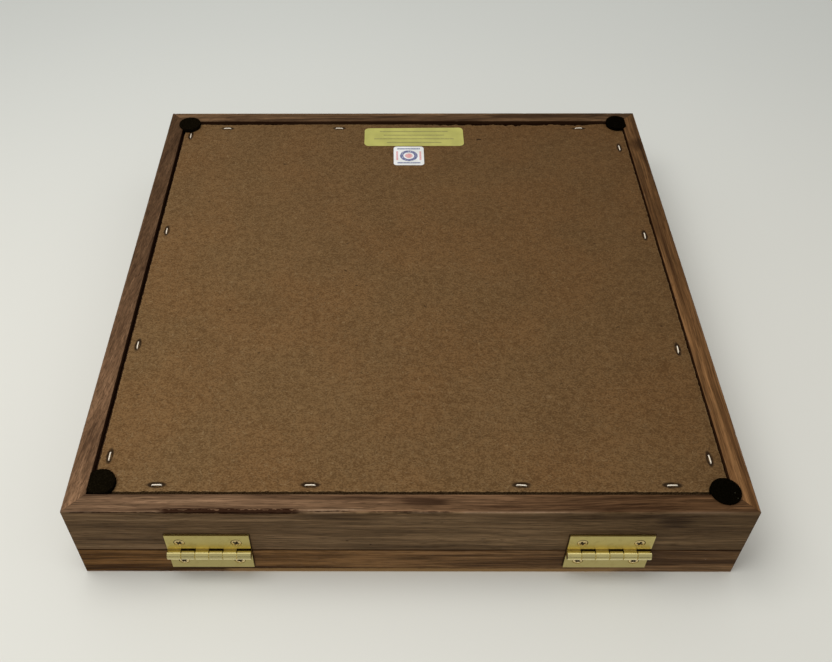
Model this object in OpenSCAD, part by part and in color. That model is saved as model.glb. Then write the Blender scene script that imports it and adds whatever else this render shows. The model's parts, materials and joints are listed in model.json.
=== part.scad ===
// Coin display case: a mitred walnut base and glazed lid, joined at the back by two
// small brass butt hinges. The case stands on its felt pads, lid up, front towards -Y.
// The origin is on the table, under the middle of the case.

/* [Case] */
// Width of the case over the side rails
case_w = 304.8; // [240:0.1:420]
// Depth of the case over the front and back rails
case_d = 304.8; // [240:0.1:420]
// Height of the base rails
base_h = 31.2; // [28:0.1:60]
// Height of the lid rails
lid_h = 19.8; // [17:0.1:30]
// Thickness of the rails, seen from above
rail_t = 19.05; // [18:0.05:25]
// Gap at the seam between base and lid
seam_gap = 0.5; // [0.35:0.05:1]
// Radius on the long outer arrises and on the corners
arris_r = 0.9; // [0.3:0.1:2]
// Radius on the arrises beside the seam
seam_arris_r = 0.3; // [0.1:0.1:0.6]

/* [Bottom panel] */
// Thickness of the hardboard panel
panel_t = 3.2; // [2:0.1:5]
// Depth of the panel's face inside the rails
panel_recess = 1.6; // [0.8:0.1:3]
// Width of the rail's underside, outside the panel
lip_w = 9.4; // [7:0.1:10.5]
// Gap beside the panel on the left
panel_gap_left = 1.6; // [0.1:0.1:2]
// Gap beside the panel on the right
panel_gap_right = 0.3; // [0.1:0.1:2]
// Gap beside the panel at the front
panel_gap_front = 1.2; // [0.1:0.1:2]
// Gap beside the panel at the back
panel_gap_back = 2.3; // [0.1:0.1:2.8]

/* [Staples] */
// Length of a staple's crown
staple_crown = 5; // [4:0.1:8]
// Thickness of the staple wire
staple_wire = 0.7; // [0.5:0.05:1.2]
// Length of a staple's legs
staple_leg = 9; // [6:0.5:12]
// Distance of the staples from the rails' inner lip
staple_inset = 5.8; // [4:0.1:6.5]

/* [Felt pads] */
// Diameter of a felt pad
pad_d = 13.7; // [10:0.1:18]
// Thickness of a pad where it lies on a rail
pad_t = 1.2; // [0.8:0.1:3]

/* [Lining and dividers] */
// Thickness of the covered board on the floor of the case
liner_t = 3; // [2:0.1:5]
// Gap round the lining board
liner_gap = 0.4; // [0.2:0.1:1]
// Columns of pockets, left to right
pocket_cols = 4; // [2:1:5]
// Rows of pockets, front to back
pocket_rows = 3; // [2:1:4]
// Thickness of the divider slats
divider_t = 3.2; // [2.4:0.1:4]
// Height of the divider slats
divider_h = 17; // [10:0.5:18]
// Gap at the ends of the slats
divider_end_gap = 0.3; // [0.2:0.05:1]
// Gap in the halving joints, on each side of a slat
lap_gap = 0.1; // [0.05:0.05:0.3]
// Bevel on the slats' top edges
divider_bevel = 0.5; // [0.2:0.1:1]

/* [Lid] */
// Thickness of the wood over the edge of the glass
top_lip_t = 6; // [4:0.1:8]
// Width of the rebate that holds the glass
glass_rebate_w = 8; // [6:0.1:10]
// Thickness of the glass
glass_t = 2.4; // [2:0.1:4]
// Gap round the glass in its rebate
glass_gap = 0.8; // [0.3:0.1:1.5]
// Height of the beads that hold the glass
bead_h = 6; // [4:0.1:6.5]
// Bevel on the inner edge of the lid's top face and of the beads
sight_bevel = 1; // [0.3:0.1:1.5]

/* [Hinges] */
// Width of a hinge along the seam
hinge_w = 38.1; // [30:0.1:50]
// Distance of a hinge's middle from the side of the case
hinge_inset = 61.4; // [45:0.1:80]
// Width of a leaf from the pin's axis to its free edge
leaf_w = 13.7; // [12:0.1:15]
// Thickness of a leaf
leaf_t = 1; // [0.8:0.05:1.2]
// Diameter of the rolled barrel
barrel_d = 4.5; // [4.2:0.1:5.5]
// Diameter of the hinge pin
pin_d = 2.4; // [1.8:0.1:2.6]
// Number of knuckles, shared by the two leaves
knuckles = 6; // [4:2:8]
// Gap between neighbouring knuckles
knuckle_gap = 0.45; // [0.2:0.05:0.6]
// Gap between a knuckle and the edge of its slot in the other leaf
slot_gap = 0.65; // [0.2:0.05:1]
// Running clearance between pin and turning knuckle, on the radius
pin_clearance = 0.05; // [0.02:0.01:0.08]
// Slit where the end of a knuckle's curl comes back to its leaf
curl_gap = 0.2; // [0.1:0.05:0.4]
// Distance of the screws from the pin's axis
screw_row = 7.65; // [7:0.05:9]
// Distance between the two screws of a leaf
screw_spacing = 25.8; // [18:0.1:27]

/* [Screws] */
// Diameter of a hinge screw's head
screw_head_d = 5; // [4:0.1:5.6]
// Diameter of a hinge screw's shank
screw_shank_d = 2.2; // [1.8:0.1:2.6]
// Length of a hinge screw
screw_len = 9.5; // [6:0.1:12]
// Diameter of a latch screw's head
small_head_d = 3; // [2.4:0.1:3.4]
// Diameter of a latch screw's shank
small_shank_d = 1.4; // [1:0.1:1.6]
// Length of a latch screw
small_len = 7; // [5:0.1:9]

/* [Latch] */
// Width of the plates under the hook and the catch
plate_w = 20; // [18:0.5:26]
// Height of the plates under the hook and the catch
plate_h = 7; // [6:0.1:9]
// Thickness of the latch plates
plate_t = 0.8; // [0.6:0.1:1]
// Height of the hook's pivot above the seam
pivot_rise = 9.6; // [8.5:0.1:11]
// Distance of the catch below the seam
catch_drop = 10.2; // [9:0.1:12]
// Thickness of the hook
hook_t = 1; // [0.8:0.1:1.2]
// Width of the hook's arm
hook_arm_w = 3.6; // [3:0.1:4.5]
// Radius of the hook's eye and of its claw
hook_r = 4; // [3.6:0.1:4.6]
// Length of the finger tab past the claw
hook_tab = 5; // [3:0.1:7]
// Diameter of the hook's rivet
rivet_d = 2.4; // [2:0.1:2.8]
// Diameter of the catch's neck
catch_neck_d = 3; // [2.4:0.1:3.2]
// Gap between the hook's claw and the catch's neck
catch_gap = 0.35; // [0.3:0.05:0.5]
// Gap on either side of the hook's thickness
hook_side_gap = 0.15; // [0.1:0.05:0.3]
// Diameter of the knob on the catch and of the rivet's head
knob_d = 5; // [4.4:0.1:5.6]

/* [Hidden] */

$fn = 48;
WALNUT = "#5d4a3c";
WALNUT_LIGHT = "#7d6450";
HARDBOARD = "#6a5132";
BRASS = "#b3a35c";
STEEL = "#d8d2c4";
FELT = "#141312";
GLASS = [0.8, 0.88, 0.86, 0.35];
// A length past any of the case's own, for cutting tools
far = 1000;
// How far a cutting tool reaches past the face that it opens
eps = 0.5;

// Heights above the table
base_z = pad_t;
panel_z = base_z + panel_recess;
rebate_h = panel_recess + panel_t;
floor_z = base_z + rebate_h;
liner_top_z = floor_z + liner_t;
seam_low_z = base_z + base_h;
lid_z = seam_low_z + seam_gap;
lid_top_z = lid_z + lid_h;
glass_z = lid_top_z - top_lip_t - glass_t;
axis_z = seam_low_z + seam_gap / 2;

// Space inside the rails
inner_w = case_w - 2 * rail_t;
inner_d = case_d - 2 * rail_t;
recess_w = case_w - 2 * lip_w;
recess_d = case_d - 2 * lip_w;
pocket_w = (inner_w - (pocket_cols - 1) * divider_t) / pocket_cols;
pocket_d = (inner_d - (pocket_rows - 1) * divider_t) / pocket_rows;

// Staples along each edge, as shares of half the panel's length
STAPLES_FRONT = [-0.80, -0.29, 0.80];
STAPLES_BACK = [-0.79, -0.31, 0.35, 0.82];
STAPLES_LEFT = [-0.905, -0.25, 0.37, 0.85];
STAPLES_RIGHT = [-0.81, -0.22, 0.39, 0.86];

// Each pad: the corner that it is at, the inset of its middle from that corner of the
// recess, and how far it may reach out over the rails before it is trimmed
PAD_FRONT_LEFT = [[-1, -1], [4.1, 3.8], [pad_d, pad_d]];
PAD_FRONT_RIGHT = [[1, -1], [3.7, 2.5], [1.7, pad_d]];
PAD_BACK_LEFT = [[-1, 1], [5.2, 5.9], [0, 0]];
PAD_BACK_RIGHT = [[1, 1], [3.7, 1.3], [pad_d, pad_d]];

// Hinge
hinge_spacing = case_w - 2 * hinge_inset;
hinge_axis_y = case_d / 2 + barrel_d / 2;
knuckle_w = hinge_w / knuckles;
leaf_start = barrel_d / 2 + slot_gap;
BASE_KNUCKLES = [for (i = [0 : 2 : knuckles - 1]) i];
LID_KNUCKLES = [for (i = [1 : 2 : knuckles - 1]) i];
HINGE_LEFT = -1;
HINGE_RIGHT = 1;

// Latch, measured outwards from the front face
pivot_z = lid_z + pivot_rise;
catch_z = seam_low_z - catch_drop;
hook_reach = pivot_z - catch_z;
hook_back = plate_t + 1.1;
hook_front = hook_back + hook_t;
// The knob stands out as far as the hinges do at the back
knob_out = barrel_d;
plate_screw_x = plate_w / 2 - small_head_d / 2 - 1;
claw_r = catch_neck_d / 2 + catch_gap;
claw_mouth = hook_r + 1;
claw_flare = claw_mouth * claw_mouth / (2 * hook_reach);

// Points of a quarter round of radius r about centre c, from angle a
function quarter(c, r, a) = [for (i = [0 : 4]) c + r * [cos(a + i * 22.5), sin(a + i * 22.5)]];

// The case seen from above, with its corners eased
module case_outline(h) {
    linear_extrude(h)
        polygon(concat(
            quarter([case_w / 2 - arris_r, case_d / 2 - arris_r], arris_r, 0),
            quarter([-case_w / 2 + arris_r, case_d / 2 - arris_r], arris_r, 90),
            quarter([-case_w / 2 + arris_r, -case_d / 2 + arris_r], arris_r, 180),
            quarter([case_w / 2 - arris_r, -case_d / 2 + arris_r], arris_r, 270)));
}

// A strip along the front of a frame of this length and depth, mitred at both ends.
// The profile's x runs inwards from the frame's outer face, its y is the height.
module mitred_strip(length, depth, t, h, profile) {
    intersection() {
        translate([-length / 2, -depth / 2, 0])
            rotate([90, 0, 90]) linear_extrude(length) polygon(profile);
        linear_extrude(h)
            polygon([
                [-length / 2, -depth / 2], [length / 2, -depth / 2],
                [length / 2 - t, -depth / 2 + t], [-length / 2 + t, -depth / 2 + t]]);
    }
}

// Base rail: the lip at the bottom stands outside the rebate for the panel
function base_profile() = concat(
    quarter([arris_r, arris_r], arris_r, 180),
    [[lip_w, 0], [lip_w, rebate_h], [rail_t, rebate_h], [rail_t, base_h]],
    quarter([seam_arris_r, base_h - seam_arris_r], seam_arris_r, 90));

// Lid rail: the lip at the top covers the edge of the glass
function lid_profile() = concat(
    quarter([seam_arris_r, seam_arris_r], seam_arris_r, 180),
    [[rail_t - glass_rebate_w, 0], [rail_t - glass_rebate_w, lid_h - top_lip_t],
     [rail_t, lid_h - top_lip_t], [rail_t, lid_h - sight_bevel], [rail_t - sight_bevel, lid_h]],
    quarter([arris_r, lid_h - arris_r], arris_r, 90));

// A rail at one side of the case, turned from the front by this angle
module base_rail(angle) {
    length = angle % 180 == 0 ? case_w : case_d;
    depth = angle % 180 == 0 ? case_d : case_w;
    intersection() {
        translate([0, 0, base_z]) rotate(angle)
            mitred_strip(length, depth, rail_t, base_h, base_profile());
        translate([0, 0, base_z]) case_outline(base_h);
    }
}

module lid_rail(angle) {
    length = angle % 180 == 0 ? case_w : case_d;
    depth = angle % 180 == 0 ? case_d : case_w;
    intersection() {
        translate([0, 0, lid_z]) rotate(angle)
            mitred_strip(length, depth, rail_t, lid_h, lid_profile());
        translate([0, 0, lid_z]) case_outline(lid_h);
    }
}

// A bead under the glass, its inner face in line with the rail's
module glass_bead(angle) {
    outer_w = inner_w + 2 * glass_rebate_w;
    outer_d = inner_d + 2 * glass_rebate_w;
    length = angle % 180 == 0 ? outer_w : outer_d;
    depth = angle % 180 == 0 ? outer_d : outer_w;
    color(WALNUT)
        translate([0, 0, glass_z - bead_h]) rotate(angle)
            mitred_strip(length, depth, glass_rebate_w, bead_h, [
                [0, 0], [glass_rebate_w - sight_bevel, 0], [glass_rebate_w, sight_bevel],
                [glass_rebate_w, bead_h], [0, bead_h]]);
}

module base_rail_front() { color(WALNUT) base_rail(0); }
module base_rail_right() { color(WALNUT_LIGHT) base_rail(90); }
module base_rail_back() { color(WALNUT) base_rail(180); }
module base_rail_left() { color(WALNUT_LIGHT) base_rail(270); }

// Hardboard let into the rebate from below, off centre as it was fitted
module bottom_panel() {
    color(HARDBOARD)
        translate([-recess_w / 2 + panel_gap_left, -recess_d / 2 + panel_gap_front, panel_z])
            cube([
                recess_w - panel_gap_left - panel_gap_right,
                recess_d - panel_gap_front - panel_gap_back,
                panel_t]);
}

// One staple: the crown lies half in the panel's face, the legs go up into the rail
module staple() {
    leg_x = staple_crown / 2 - staple_wire / 2;
    rotate([0, 90, 0]) cylinder(d = staple_wire, h = 2 * leg_x, center = true, $fn = 16);
    for (side = [-1, 1]) {
        translate([side * leg_x, 0, 0]) sphere(d = staple_wire, $fn = 16);
        translate([side * leg_x, 0, 0]) cylinder(d = staple_wire, h = staple_leg, $fn = 16);
    }
}

module bottom_staples() {
    row_x = recess_w / 2 - staple_inset;
    row_y = recess_d / 2 - staple_inset;
    color(STEEL) {
        for (s = STAPLES_FRONT) translate([s * recess_w / 2, -row_y, panel_z]) staple();
        for (s = STAPLES_BACK) translate([s * recess_w / 2, row_y, panel_z]) staple();
        for (s = STAPLES_LEFT) translate([-row_x, s * recess_d / 2, panel_z]) rotate(90) staple();
        for (s = STAPLES_RIGHT) translate([row_x, s * recess_d / 2, panel_z]) rotate(90) staple();
    }
}

// A felt disc: full depth inside the recess, thin where it lies on the rails
module felt_pad(pad) {
    side = pad[0];
    middle = [
        side[0] * (recess_w / 2 - pad[1][0]),
        side[1] * (recess_d / 2 - pad[1][1])];
    color(FELT) {
        intersection() {
            translate(middle) cylinder(d = pad_d, h = panel_z);
            translate([-recess_w / 2, -recess_d / 2, 0]) cube([recess_w, recess_d, panel_z]);
        }
        intersection() {
            translate(middle) cylinder(d = pad_d, h = pad_t);
            translate([-recess_w / 2 - pad[2][0], -recess_d / 2 - pad[2][1], 0])
                cube([recess_w + 2 * pad[2][0], recess_d + 2 * pad[2][1], pad_t]);
        }
    }
}

module pad_front_left() { felt_pad(PAD_FRONT_LEFT); }
module pad_front_right() { felt_pad(PAD_FRONT_RIGHT); }
module pad_back_left() { felt_pad(PAD_BACK_LEFT); }
module pad_back_right() { felt_pad(PAD_BACK_RIGHT); }

// Covered board that lies on the panel, inside the rails
module liner_board() {
    color(FELT)
        translate([-inner_w / 2 + liner_gap, -inner_d / 2 + liner_gap, floor_z])
            cube([inner_w - 2 * liner_gap, inner_d - 2 * liner_gap, liner_t]);
}

// A slat along X, centred, with its halving slots cut down from the top or up from below
module divider_slat(length, slots, from_top) {
    slot_h = divider_h / 2 + lap_gap;
    slot_w = divider_t + 2 * lap_gap;
    half_t = divider_t / 2;
    difference() {
        translate([-length / 2, 0, 0])
            rotate([90, 0, 90]) linear_extrude(length)
                polygon([
                    [-half_t, 0], [half_t, 0], [half_t, divider_h - divider_bevel],
                    [half_t - divider_bevel, divider_h], [-half_t + divider_bevel, divider_h],
                    [-half_t, divider_h - divider_bevel]]);
        for (x = slots)
            translate([x - slot_w / 2, -divider_t, from_top ? divider_h - slot_h : -eps])
                cube([slot_w, 2 * divider_t, slot_h + eps]);
    }
}

// Middle of the divider after column or row i, for pockets of this size
function divider_at(i, count, pocket) = (i + 1 - count / 2) * (pocket + divider_t);
LONG_X = [for (i = [0 : pocket_cols - 2]) divider_at(i, pocket_cols, pocket_w)];
CROSS_Y = [for (i = [0 : pocket_rows - 2]) divider_at(i, pocket_rows, pocket_d)];

// The slats from front to back, slotted from the top
module divider_long(x) {
    color(FELT)
        translate([x, 0, liner_top_z]) rotate(90)
            divider_slat(inner_d - 2 * divider_end_gap, CROSS_Y, true);
}

// The slats from side to side, slotted from below
module divider_cross(y) {
    color(FELT)
        translate([0, y, liner_top_z])
            divider_slat(inner_w - 2 * divider_end_gap, LONG_X, false);
}

// The outer slats are named, and what lies between them belongs to the centre one
last_col = len(LONG_X) - 1;
module divider_long_left() { divider_long(LONG_X[0]); }
module divider_long_right() { divider_long(LONG_X[last_col]); }
module divider_long_centre() {
    for (i = [1 : 1 : last_col - 1]) divider_long(LONG_X[i]);
}
module divider_cross_front() { divider_cross(CROSS_Y[0]); }
module divider_cross_back() { divider_cross(CROSS_Y[len(CROSS_Y) - 1]); }

// A countersunk screw along -Z, the top of its head at z = 0, with a cross recess
module wood_screw(head_d, shank_d, length) {
    head_h = (head_d - shank_d) / 2;
    bar = head_d * 0.56;
    slot = head_d * 0.13;
    difference() {
        rotate_extrude()
            polygon([
                [0, 0], [head_d / 2, 0], [head_d / 2, -0.2], [shank_d / 2, -head_h - 0.2],
                [shank_d / 2, -length + shank_d], [0, -length]]);
        for (a = [45, 135])
            rotate(a) translate([-bar / 2, -slot / 2, -head_h * 0.6]) cube([bar, slot, head_h]);
    }
}

// The hole that such a screw sits in, through a plate of thickness t
module screw_hole(head_d, shank_d, t) {
    head_h = (head_d - shank_d) / 2;
    rotate_extrude()
        polygon([
            [0, eps], [head_d / 2 + 0.05, eps], [head_d / 2 + 0.05, -0.2],
            [shank_d / 2 + 0.05, -head_h - 0.2], [shank_d / 2 + 0.05, -t - eps], [0, -t - eps]]);
}

// One leaf in its own axes: the pin along X, the plate up from it, its face at z = 0 and
// its back against the wood. The plate stops short of the other leaf's knuckles, and its
// own are rolled from it, with a slit where each curl comes back to the face.
module hinge_leaf(own, bore_d) {
    axis_out = barrel_d / 2 - leaf_t;
    difference() {
        union() {
            translate([-hinge_w / 2, leaf_start, -leaf_t])
                cube([hinge_w, leaf_w - leaf_start, leaf_t]);
            for (i = own) {
                x = -hinge_w / 2 + i * knuckle_w + (i == 0 ? 0 : knuckle_gap / 2);
                w = knuckle_w - (i == 0 || i == knuckles - 1 ? 1 : 2) * knuckle_gap / 2;
                translate([x, 0, axis_out]) rotate([0, 90, 0]) cylinder(d = barrel_d, h = w);
                translate([x, 0, -leaf_t]) cube([w, leaf_start + eps, leaf_t]);
            }
        }
        translate([-far / 2, 0, axis_out]) rotate([0, 90, 0]) cylinder(d = bore_d, h = far);
        translate([-far / 2, bore_d / 4, 0]) cube([far, barrel_d / 2, curl_gap]);
        for (side = [-1, 1])
            translate([side * screw_spacing / 2, screw_row, 0])
                screw_hole(screw_head_d, screw_shank_d, leaf_t);
    }
}

// Puts what is drawn in a leaf's axes on the back of the case, upright or turned down.
// Turned down mirrors it in the pin, so a knuckle keeps its place along the seam.
module on_back(side, down) {
    translate([side * hinge_spacing / 2, case_d / 2 + leaf_t, axis_z])
        rotate([90, 0, 180]) mirror([1, 0, 0]) mirror([0, down ? 1 : 0, 0]) children();
}

module base_leaf(side) {
    color(BRASS) on_back(side, true) hinge_leaf(BASE_KNUCKLES, pin_d);
}
module lid_leaf(side) {
    color(BRASS) on_back(side, false) hinge_leaf(LID_KNUCKLES, pin_d + 2 * pin_clearance);
}
module hinge_left_base_leaf() { base_leaf(HINGE_LEFT); }
module hinge_right_base_leaf() { base_leaf(HINGE_RIGHT); }
module hinge_left_lid_leaf() { lid_leaf(HINGE_LEFT); }
module hinge_right_lid_leaf() { lid_leaf(HINGE_RIGHT); }

module hinge_pin(side) {
    color(BRASS)
        translate([side * hinge_spacing / 2, hinge_axis_y, axis_z])
            rotate([0, 90, 0]) cylinder(d = pin_d, h = hinge_w, center = true);
}
module hinge_left_pin() { hinge_pin(HINGE_LEFT); }
module hinge_right_pin() { hinge_pin(HINGE_RIGHT); }

// The screws of both hinges in one row, up in the lid or down in the base
module hinge_screws(down) {
    color(BRASS)
        for (side = [HINGE_LEFT, HINGE_RIGHT], x = [-1, 1])
            on_back(side, down)
                translate([x * screw_spacing / 2, screw_row, 0])
                    wood_screw(screw_head_d, screw_shank_d, screw_len);
}
module base_hinge_screws() { hinge_screws(true); }
module lid_hinge_screws() { hinge_screws(false); }

// Puts what is drawn with +Z outwards on the front face at this height
module on_front(z) {
    translate([0, -case_d / 2, z]) rotate([90, 0, 0]) children();
}

// A latch plate with round ends and a screw near each end
module latch_plate(hole_d) {
    color(BRASS)
        difference() {
            intersection() {
                translate([-plate_w / 2, -plate_h / 2, 0]) cube([plate_w, plate_h, plate_t]);
                union() {
                    for (x = [-1, 1])
                        translate([x * (plate_w - plate_h) / 2, 0, 0])
                            cylinder(d = plate_h, h = plate_t);
                    translate([-(plate_w - plate_h) / 2, -plate_h / 2, 0])
                        cube([plate_w - plate_h, plate_h, plate_t]);
                }
            }
            translate([0, 0, -eps]) cylinder(d = hole_d, h = plate_t + 2 * eps);
            for (x = [-1, 1])
                translate([x * plate_screw_x, 0, plate_t])
                    screw_hole(small_head_d, small_shank_d, plate_t);
        }
}

module latch_screws() {
    color(BRASS)
        for (x = [-1, 1])
            translate([x * plate_screw_x, 0, plate_t])
                wood_screw(small_head_d, small_shank_d, small_len);
}

// A turned stud: shank in the wood, collar on the plate, neck, then a domed head
module turned_stud(shank_d, collar_d, collar_top, neck_d, head_z) {
    dome = (knob_out - head_z) * 0.6;
    color(BRASS)
        rotate_extrude()
            polygon(concat(
                [[0, -small_len], [shank_d / 2, -small_len], [shank_d / 2, plate_t],
                 [collar_d / 2, plate_t], [collar_d / 2, collar_top],
                 [neck_d / 2, collar_top], [neck_d / 2, head_z],
                 [knob_d / 2, head_z], [knob_d / 2, knob_out - dome]],
                [for (a = [15 : 15 : 90])
                    [knob_d / 2 * cos(a), knob_out - dome + dome * sin(a)]]));
}

module catch_plate() { on_front(catch_z) latch_plate(catch_neck_d); }
module catch_screws() { on_front(catch_z) latch_screws(); }
module catch_knob() {
    on_front(catch_z)
        turned_stud(
            catch_neck_d, catch_neck_d + 1.2, hook_back - 0.4, catch_neck_d,
            hook_front + hook_side_gap);
}
module hook_plate() { on_front(pivot_z) latch_plate(rivet_d); }
module hook_plate_screws() { on_front(pivot_z) latch_screws(); }
module hook_rivet() {
    on_front(pivot_z)
        turned_stud(
            rivet_d, rivet_d + 1.8, hook_back - hook_side_gap, rivet_d,
            hook_front + hook_side_gap);
}

// The claw opens towards the side that swings down. Its mouth widens towards the pivot
// by as much as the neck strays from a straight line on its arc through it.
function claw_outline() = concat(
    [for (a = [0 : 15 : 180]) [hook_reach + claw_r * cos(a), claw_r * sin(a)]],
    [[hook_reach - claw_r - claw_flare, -claw_mouth], [hook_reach + claw_r, -claw_mouth]]);

// The hook at rest, swung aside along the lid
module hook() {
    color(BRASS)
        on_front(pivot_z)
            translate([0, 0, hook_back])
                difference() {
                    union() {
                        cylinder(r = hook_r, h = hook_t);
                        translate([0, -hook_arm_w / 2, 0])
                            cube([hook_reach + hook_r + hook_tab - hook_arm_w / 2, hook_arm_w, hook_t]);
                        translate([hook_reach, 0, 0]) cylinder(r = hook_r, h = hook_t);
                        translate([hook_reach + hook_r + hook_tab - hook_arm_w / 2, 0, 0])
                            cylinder(d = hook_arm_w, h = hook_t);
                    }
                    translate([0, 0, -eps])
                        cylinder(d = rivet_d + 2 * pin_clearance, h = hook_t + 2 * eps);
                    translate([0, 0, -eps]) linear_extrude(hook_t + 2 * eps) polygon(claw_outline());
                }
}

module lid_rail_front() { color(WALNUT) lid_rail(0); }
module lid_rail_right() { color(WALNUT_LIGHT) lid_rail(90); }
module lid_rail_back() { color(WALNUT) lid_rail(180); }
module lid_rail_left() { color(WALNUT_LIGHT) lid_rail(270); }

// The pane lies against the lid's top lip, inside its rebate
module lid_glass() {
    pane_w = inner_w + 2 * (glass_rebate_w - glass_gap);
    pane_d = inner_d + 2 * (glass_rebate_w - glass_gap);
    color(GLASS) translate([-pane_w / 2, -pane_d / 2, glass_z]) cube([pane_w, pane_d, glass_t]);
}

module glass_bead_front() { glass_bead(0); }
module glass_bead_right() { glass_bead(90); }
module glass_bead_back() { glass_bead(180); }
module glass_bead_left() { glass_bead(270); }

base_rail_front();
base_rail_back();
base_rail_left();
base_rail_right();
bottom_panel();
bottom_staples();
pad_front_left();
pad_front_right();
pad_back_left();
pad_back_right();
liner_board();
divider_long_left();
divider_long_centre();
divider_long_right();
divider_cross_front();
divider_cross_back();
hinge_left_base_leaf();
hinge_right_base_leaf();
hinge_left_pin();
hinge_right_pin();
base_hinge_screws();
catch_plate();
catch_knob();
catch_screws();
lid_rail_front();
lid_rail_back();
lid_rail_left();
lid_rail_right();
lid_glass();
glass_bead_front();
glass_bead_back();
glass_bead_left();
glass_bead_right();
hinge_left_lid_leaf();
hinge_right_lid_leaf();
lid_hinge_screws();
hook_plate();
hook_plate_screws();
hook_rivet();
hook();
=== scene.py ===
"""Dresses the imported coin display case: walnut rails, a hardboard bottom, brass, felt and glass.

Everything is in metres in the frame of the model. The case stands on its felt pads with its
front towards -Y. The camera looks at it turned over, from the side of the hinges.
"""

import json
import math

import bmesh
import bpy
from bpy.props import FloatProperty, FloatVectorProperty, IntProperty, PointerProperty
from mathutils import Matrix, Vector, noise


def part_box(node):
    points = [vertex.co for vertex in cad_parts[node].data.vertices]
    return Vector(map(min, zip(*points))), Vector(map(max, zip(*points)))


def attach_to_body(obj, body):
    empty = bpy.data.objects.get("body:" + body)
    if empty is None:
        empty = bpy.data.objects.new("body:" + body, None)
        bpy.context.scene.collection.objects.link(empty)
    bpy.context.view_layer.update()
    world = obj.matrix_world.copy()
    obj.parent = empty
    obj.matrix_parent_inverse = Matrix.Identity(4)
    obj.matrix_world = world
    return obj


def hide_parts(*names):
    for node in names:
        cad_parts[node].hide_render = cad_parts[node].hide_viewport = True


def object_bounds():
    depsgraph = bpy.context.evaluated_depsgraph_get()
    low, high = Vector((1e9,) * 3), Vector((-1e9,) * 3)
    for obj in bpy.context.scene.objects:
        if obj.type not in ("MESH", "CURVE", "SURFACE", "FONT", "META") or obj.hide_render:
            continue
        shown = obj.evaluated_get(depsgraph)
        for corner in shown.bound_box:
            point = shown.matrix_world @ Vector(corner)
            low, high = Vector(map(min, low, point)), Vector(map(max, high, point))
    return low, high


bl_info = {
    "name": "Coin display case",
    "version": (1, 0, 0),
    "blender": (4, 5, 0),
    "location": "3D View > Sidebar > Coin case",
    "description": "Dresses the packed coin display case in walnut, hardboard, brass, felt and glass",
    "category": "Object",
}

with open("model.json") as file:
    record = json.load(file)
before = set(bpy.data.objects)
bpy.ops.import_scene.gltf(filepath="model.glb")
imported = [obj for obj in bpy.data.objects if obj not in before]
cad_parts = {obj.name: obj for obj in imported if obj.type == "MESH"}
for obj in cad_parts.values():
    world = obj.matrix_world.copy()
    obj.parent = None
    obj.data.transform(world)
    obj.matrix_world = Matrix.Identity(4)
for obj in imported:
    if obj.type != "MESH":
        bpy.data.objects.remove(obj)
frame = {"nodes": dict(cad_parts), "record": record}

CAD_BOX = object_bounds()
MM = 0.001
# Points closer than this are welded
WELD = 0.002 * MM


# Sizes read from the frame

def low(node):
    """Lowest corner of a node, in millimetres."""
    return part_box(node)[0] / MM


def high(node):
    """Highest corner of a node, in millimetres."""
    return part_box(node)[1] / MM


CASE_HALF = high("base_rail_right").x
RAIL_T = high("base_rail_left").x - low("base_rail_left").x
BASE_Z = low("base_rail_front").z
BASE_H = high("base_rail_front").z - BASE_Z
LID_Z = low("lid_rail_front").z
LID_H = high("lid_rail_front").z - LID_Z
PANEL_Z = low("bottom_panel").z
REBATE_H = high("bottom_panel").z - BASE_Z
# The back left pad is trimmed at the recess, so it gives the recess's edge
RECESS_HALF = -low("pad_back_left").x
LIP_W = CASE_HALF - RECESS_HALF
GLASS_REBATE_W = high("glass_bead_left").x - low("glass_bead_left").x
GLASS_TOP = high("lid_glass").z - LID_Z
HINGE_AXIS_Z = (high("hinge_left_pin").z + low("hinge_left_pin").z) / 2
LEAF_T = high("base_hinge_screws").y - CASE_HALF
# The staples' crowns lie half in the panel's face
STAPLE_WIRE = 2 * (PANEL_Z - low("bottom_staples").z)

# Turn about Z that brings the front rail to each side of the case
SIDES = {"front": 0, "right": 90, "back": 180, "left": 270}


def solids_of(node_name):
    """Lowest and highest corner of each separate solid of a node, in millimetres."""
    bm = bmesh.new()
    bm.from_mesh(frame["nodes"][node_name].data)
    bmesh.ops.remove_doubles(bm, verts=bm.verts, dist=WELD)
    seen, boxes = set(), []
    for vert in bm.verts:
        if vert in seen:
            continue
        found, waiting = [], [vert]
        seen.add(vert)
        while waiting:
            at = waiting.pop()
            found.append(at.co / MM)
            for edge in at.link_edges:
                other = edge.other_vert(at)
                if other not in seen:
                    seen.add(other)
                    waiting.append(other)
        boxes.append(tuple(Vector([f(p[i] for p in found) for i in range(3)]) for f in (min, max)))
    bm.free()
    return sorted(boxes, key=lambda box: tuple(box[0]))


# Settings in the sidebar

def colour(name, description, default):
    """A colour property in linear light."""
    return FloatVectorProperty(
        name=name, description=description, subtype="COLOR", min=0, max=1, default=default)


def length(name, description, default):
    """A length property, given in millimetres."""
    return FloatProperty(name=name, description=description, unit="LENGTH", min=0, default=default * MM)


class WalnutSettings(bpy.types.PropertyGroup):
    pale: colour("Pale streaks", "Colour of the palest figure", (0.215, 0.128, 0.070))
    middle: colour("Middle", "Main colour of the oiled wood", (0.118, 0.068, 0.036))
    dark: colour("Dark streaks", "Colour of the dark figure", (0.052, 0.028, 0.015))
    nick: length("Nicks", "Depth of the small nicks along the arrises", 0.16)
    splinter: length("Splinters", "Depth where splinters came off the back arris", 0.75)
    arris: length("Arris", "Radius of the long outer arrises", 0.9)
    seam_arris: length("Seam arris", "Radius of the arrises beside the seam", 0.3)


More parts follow.
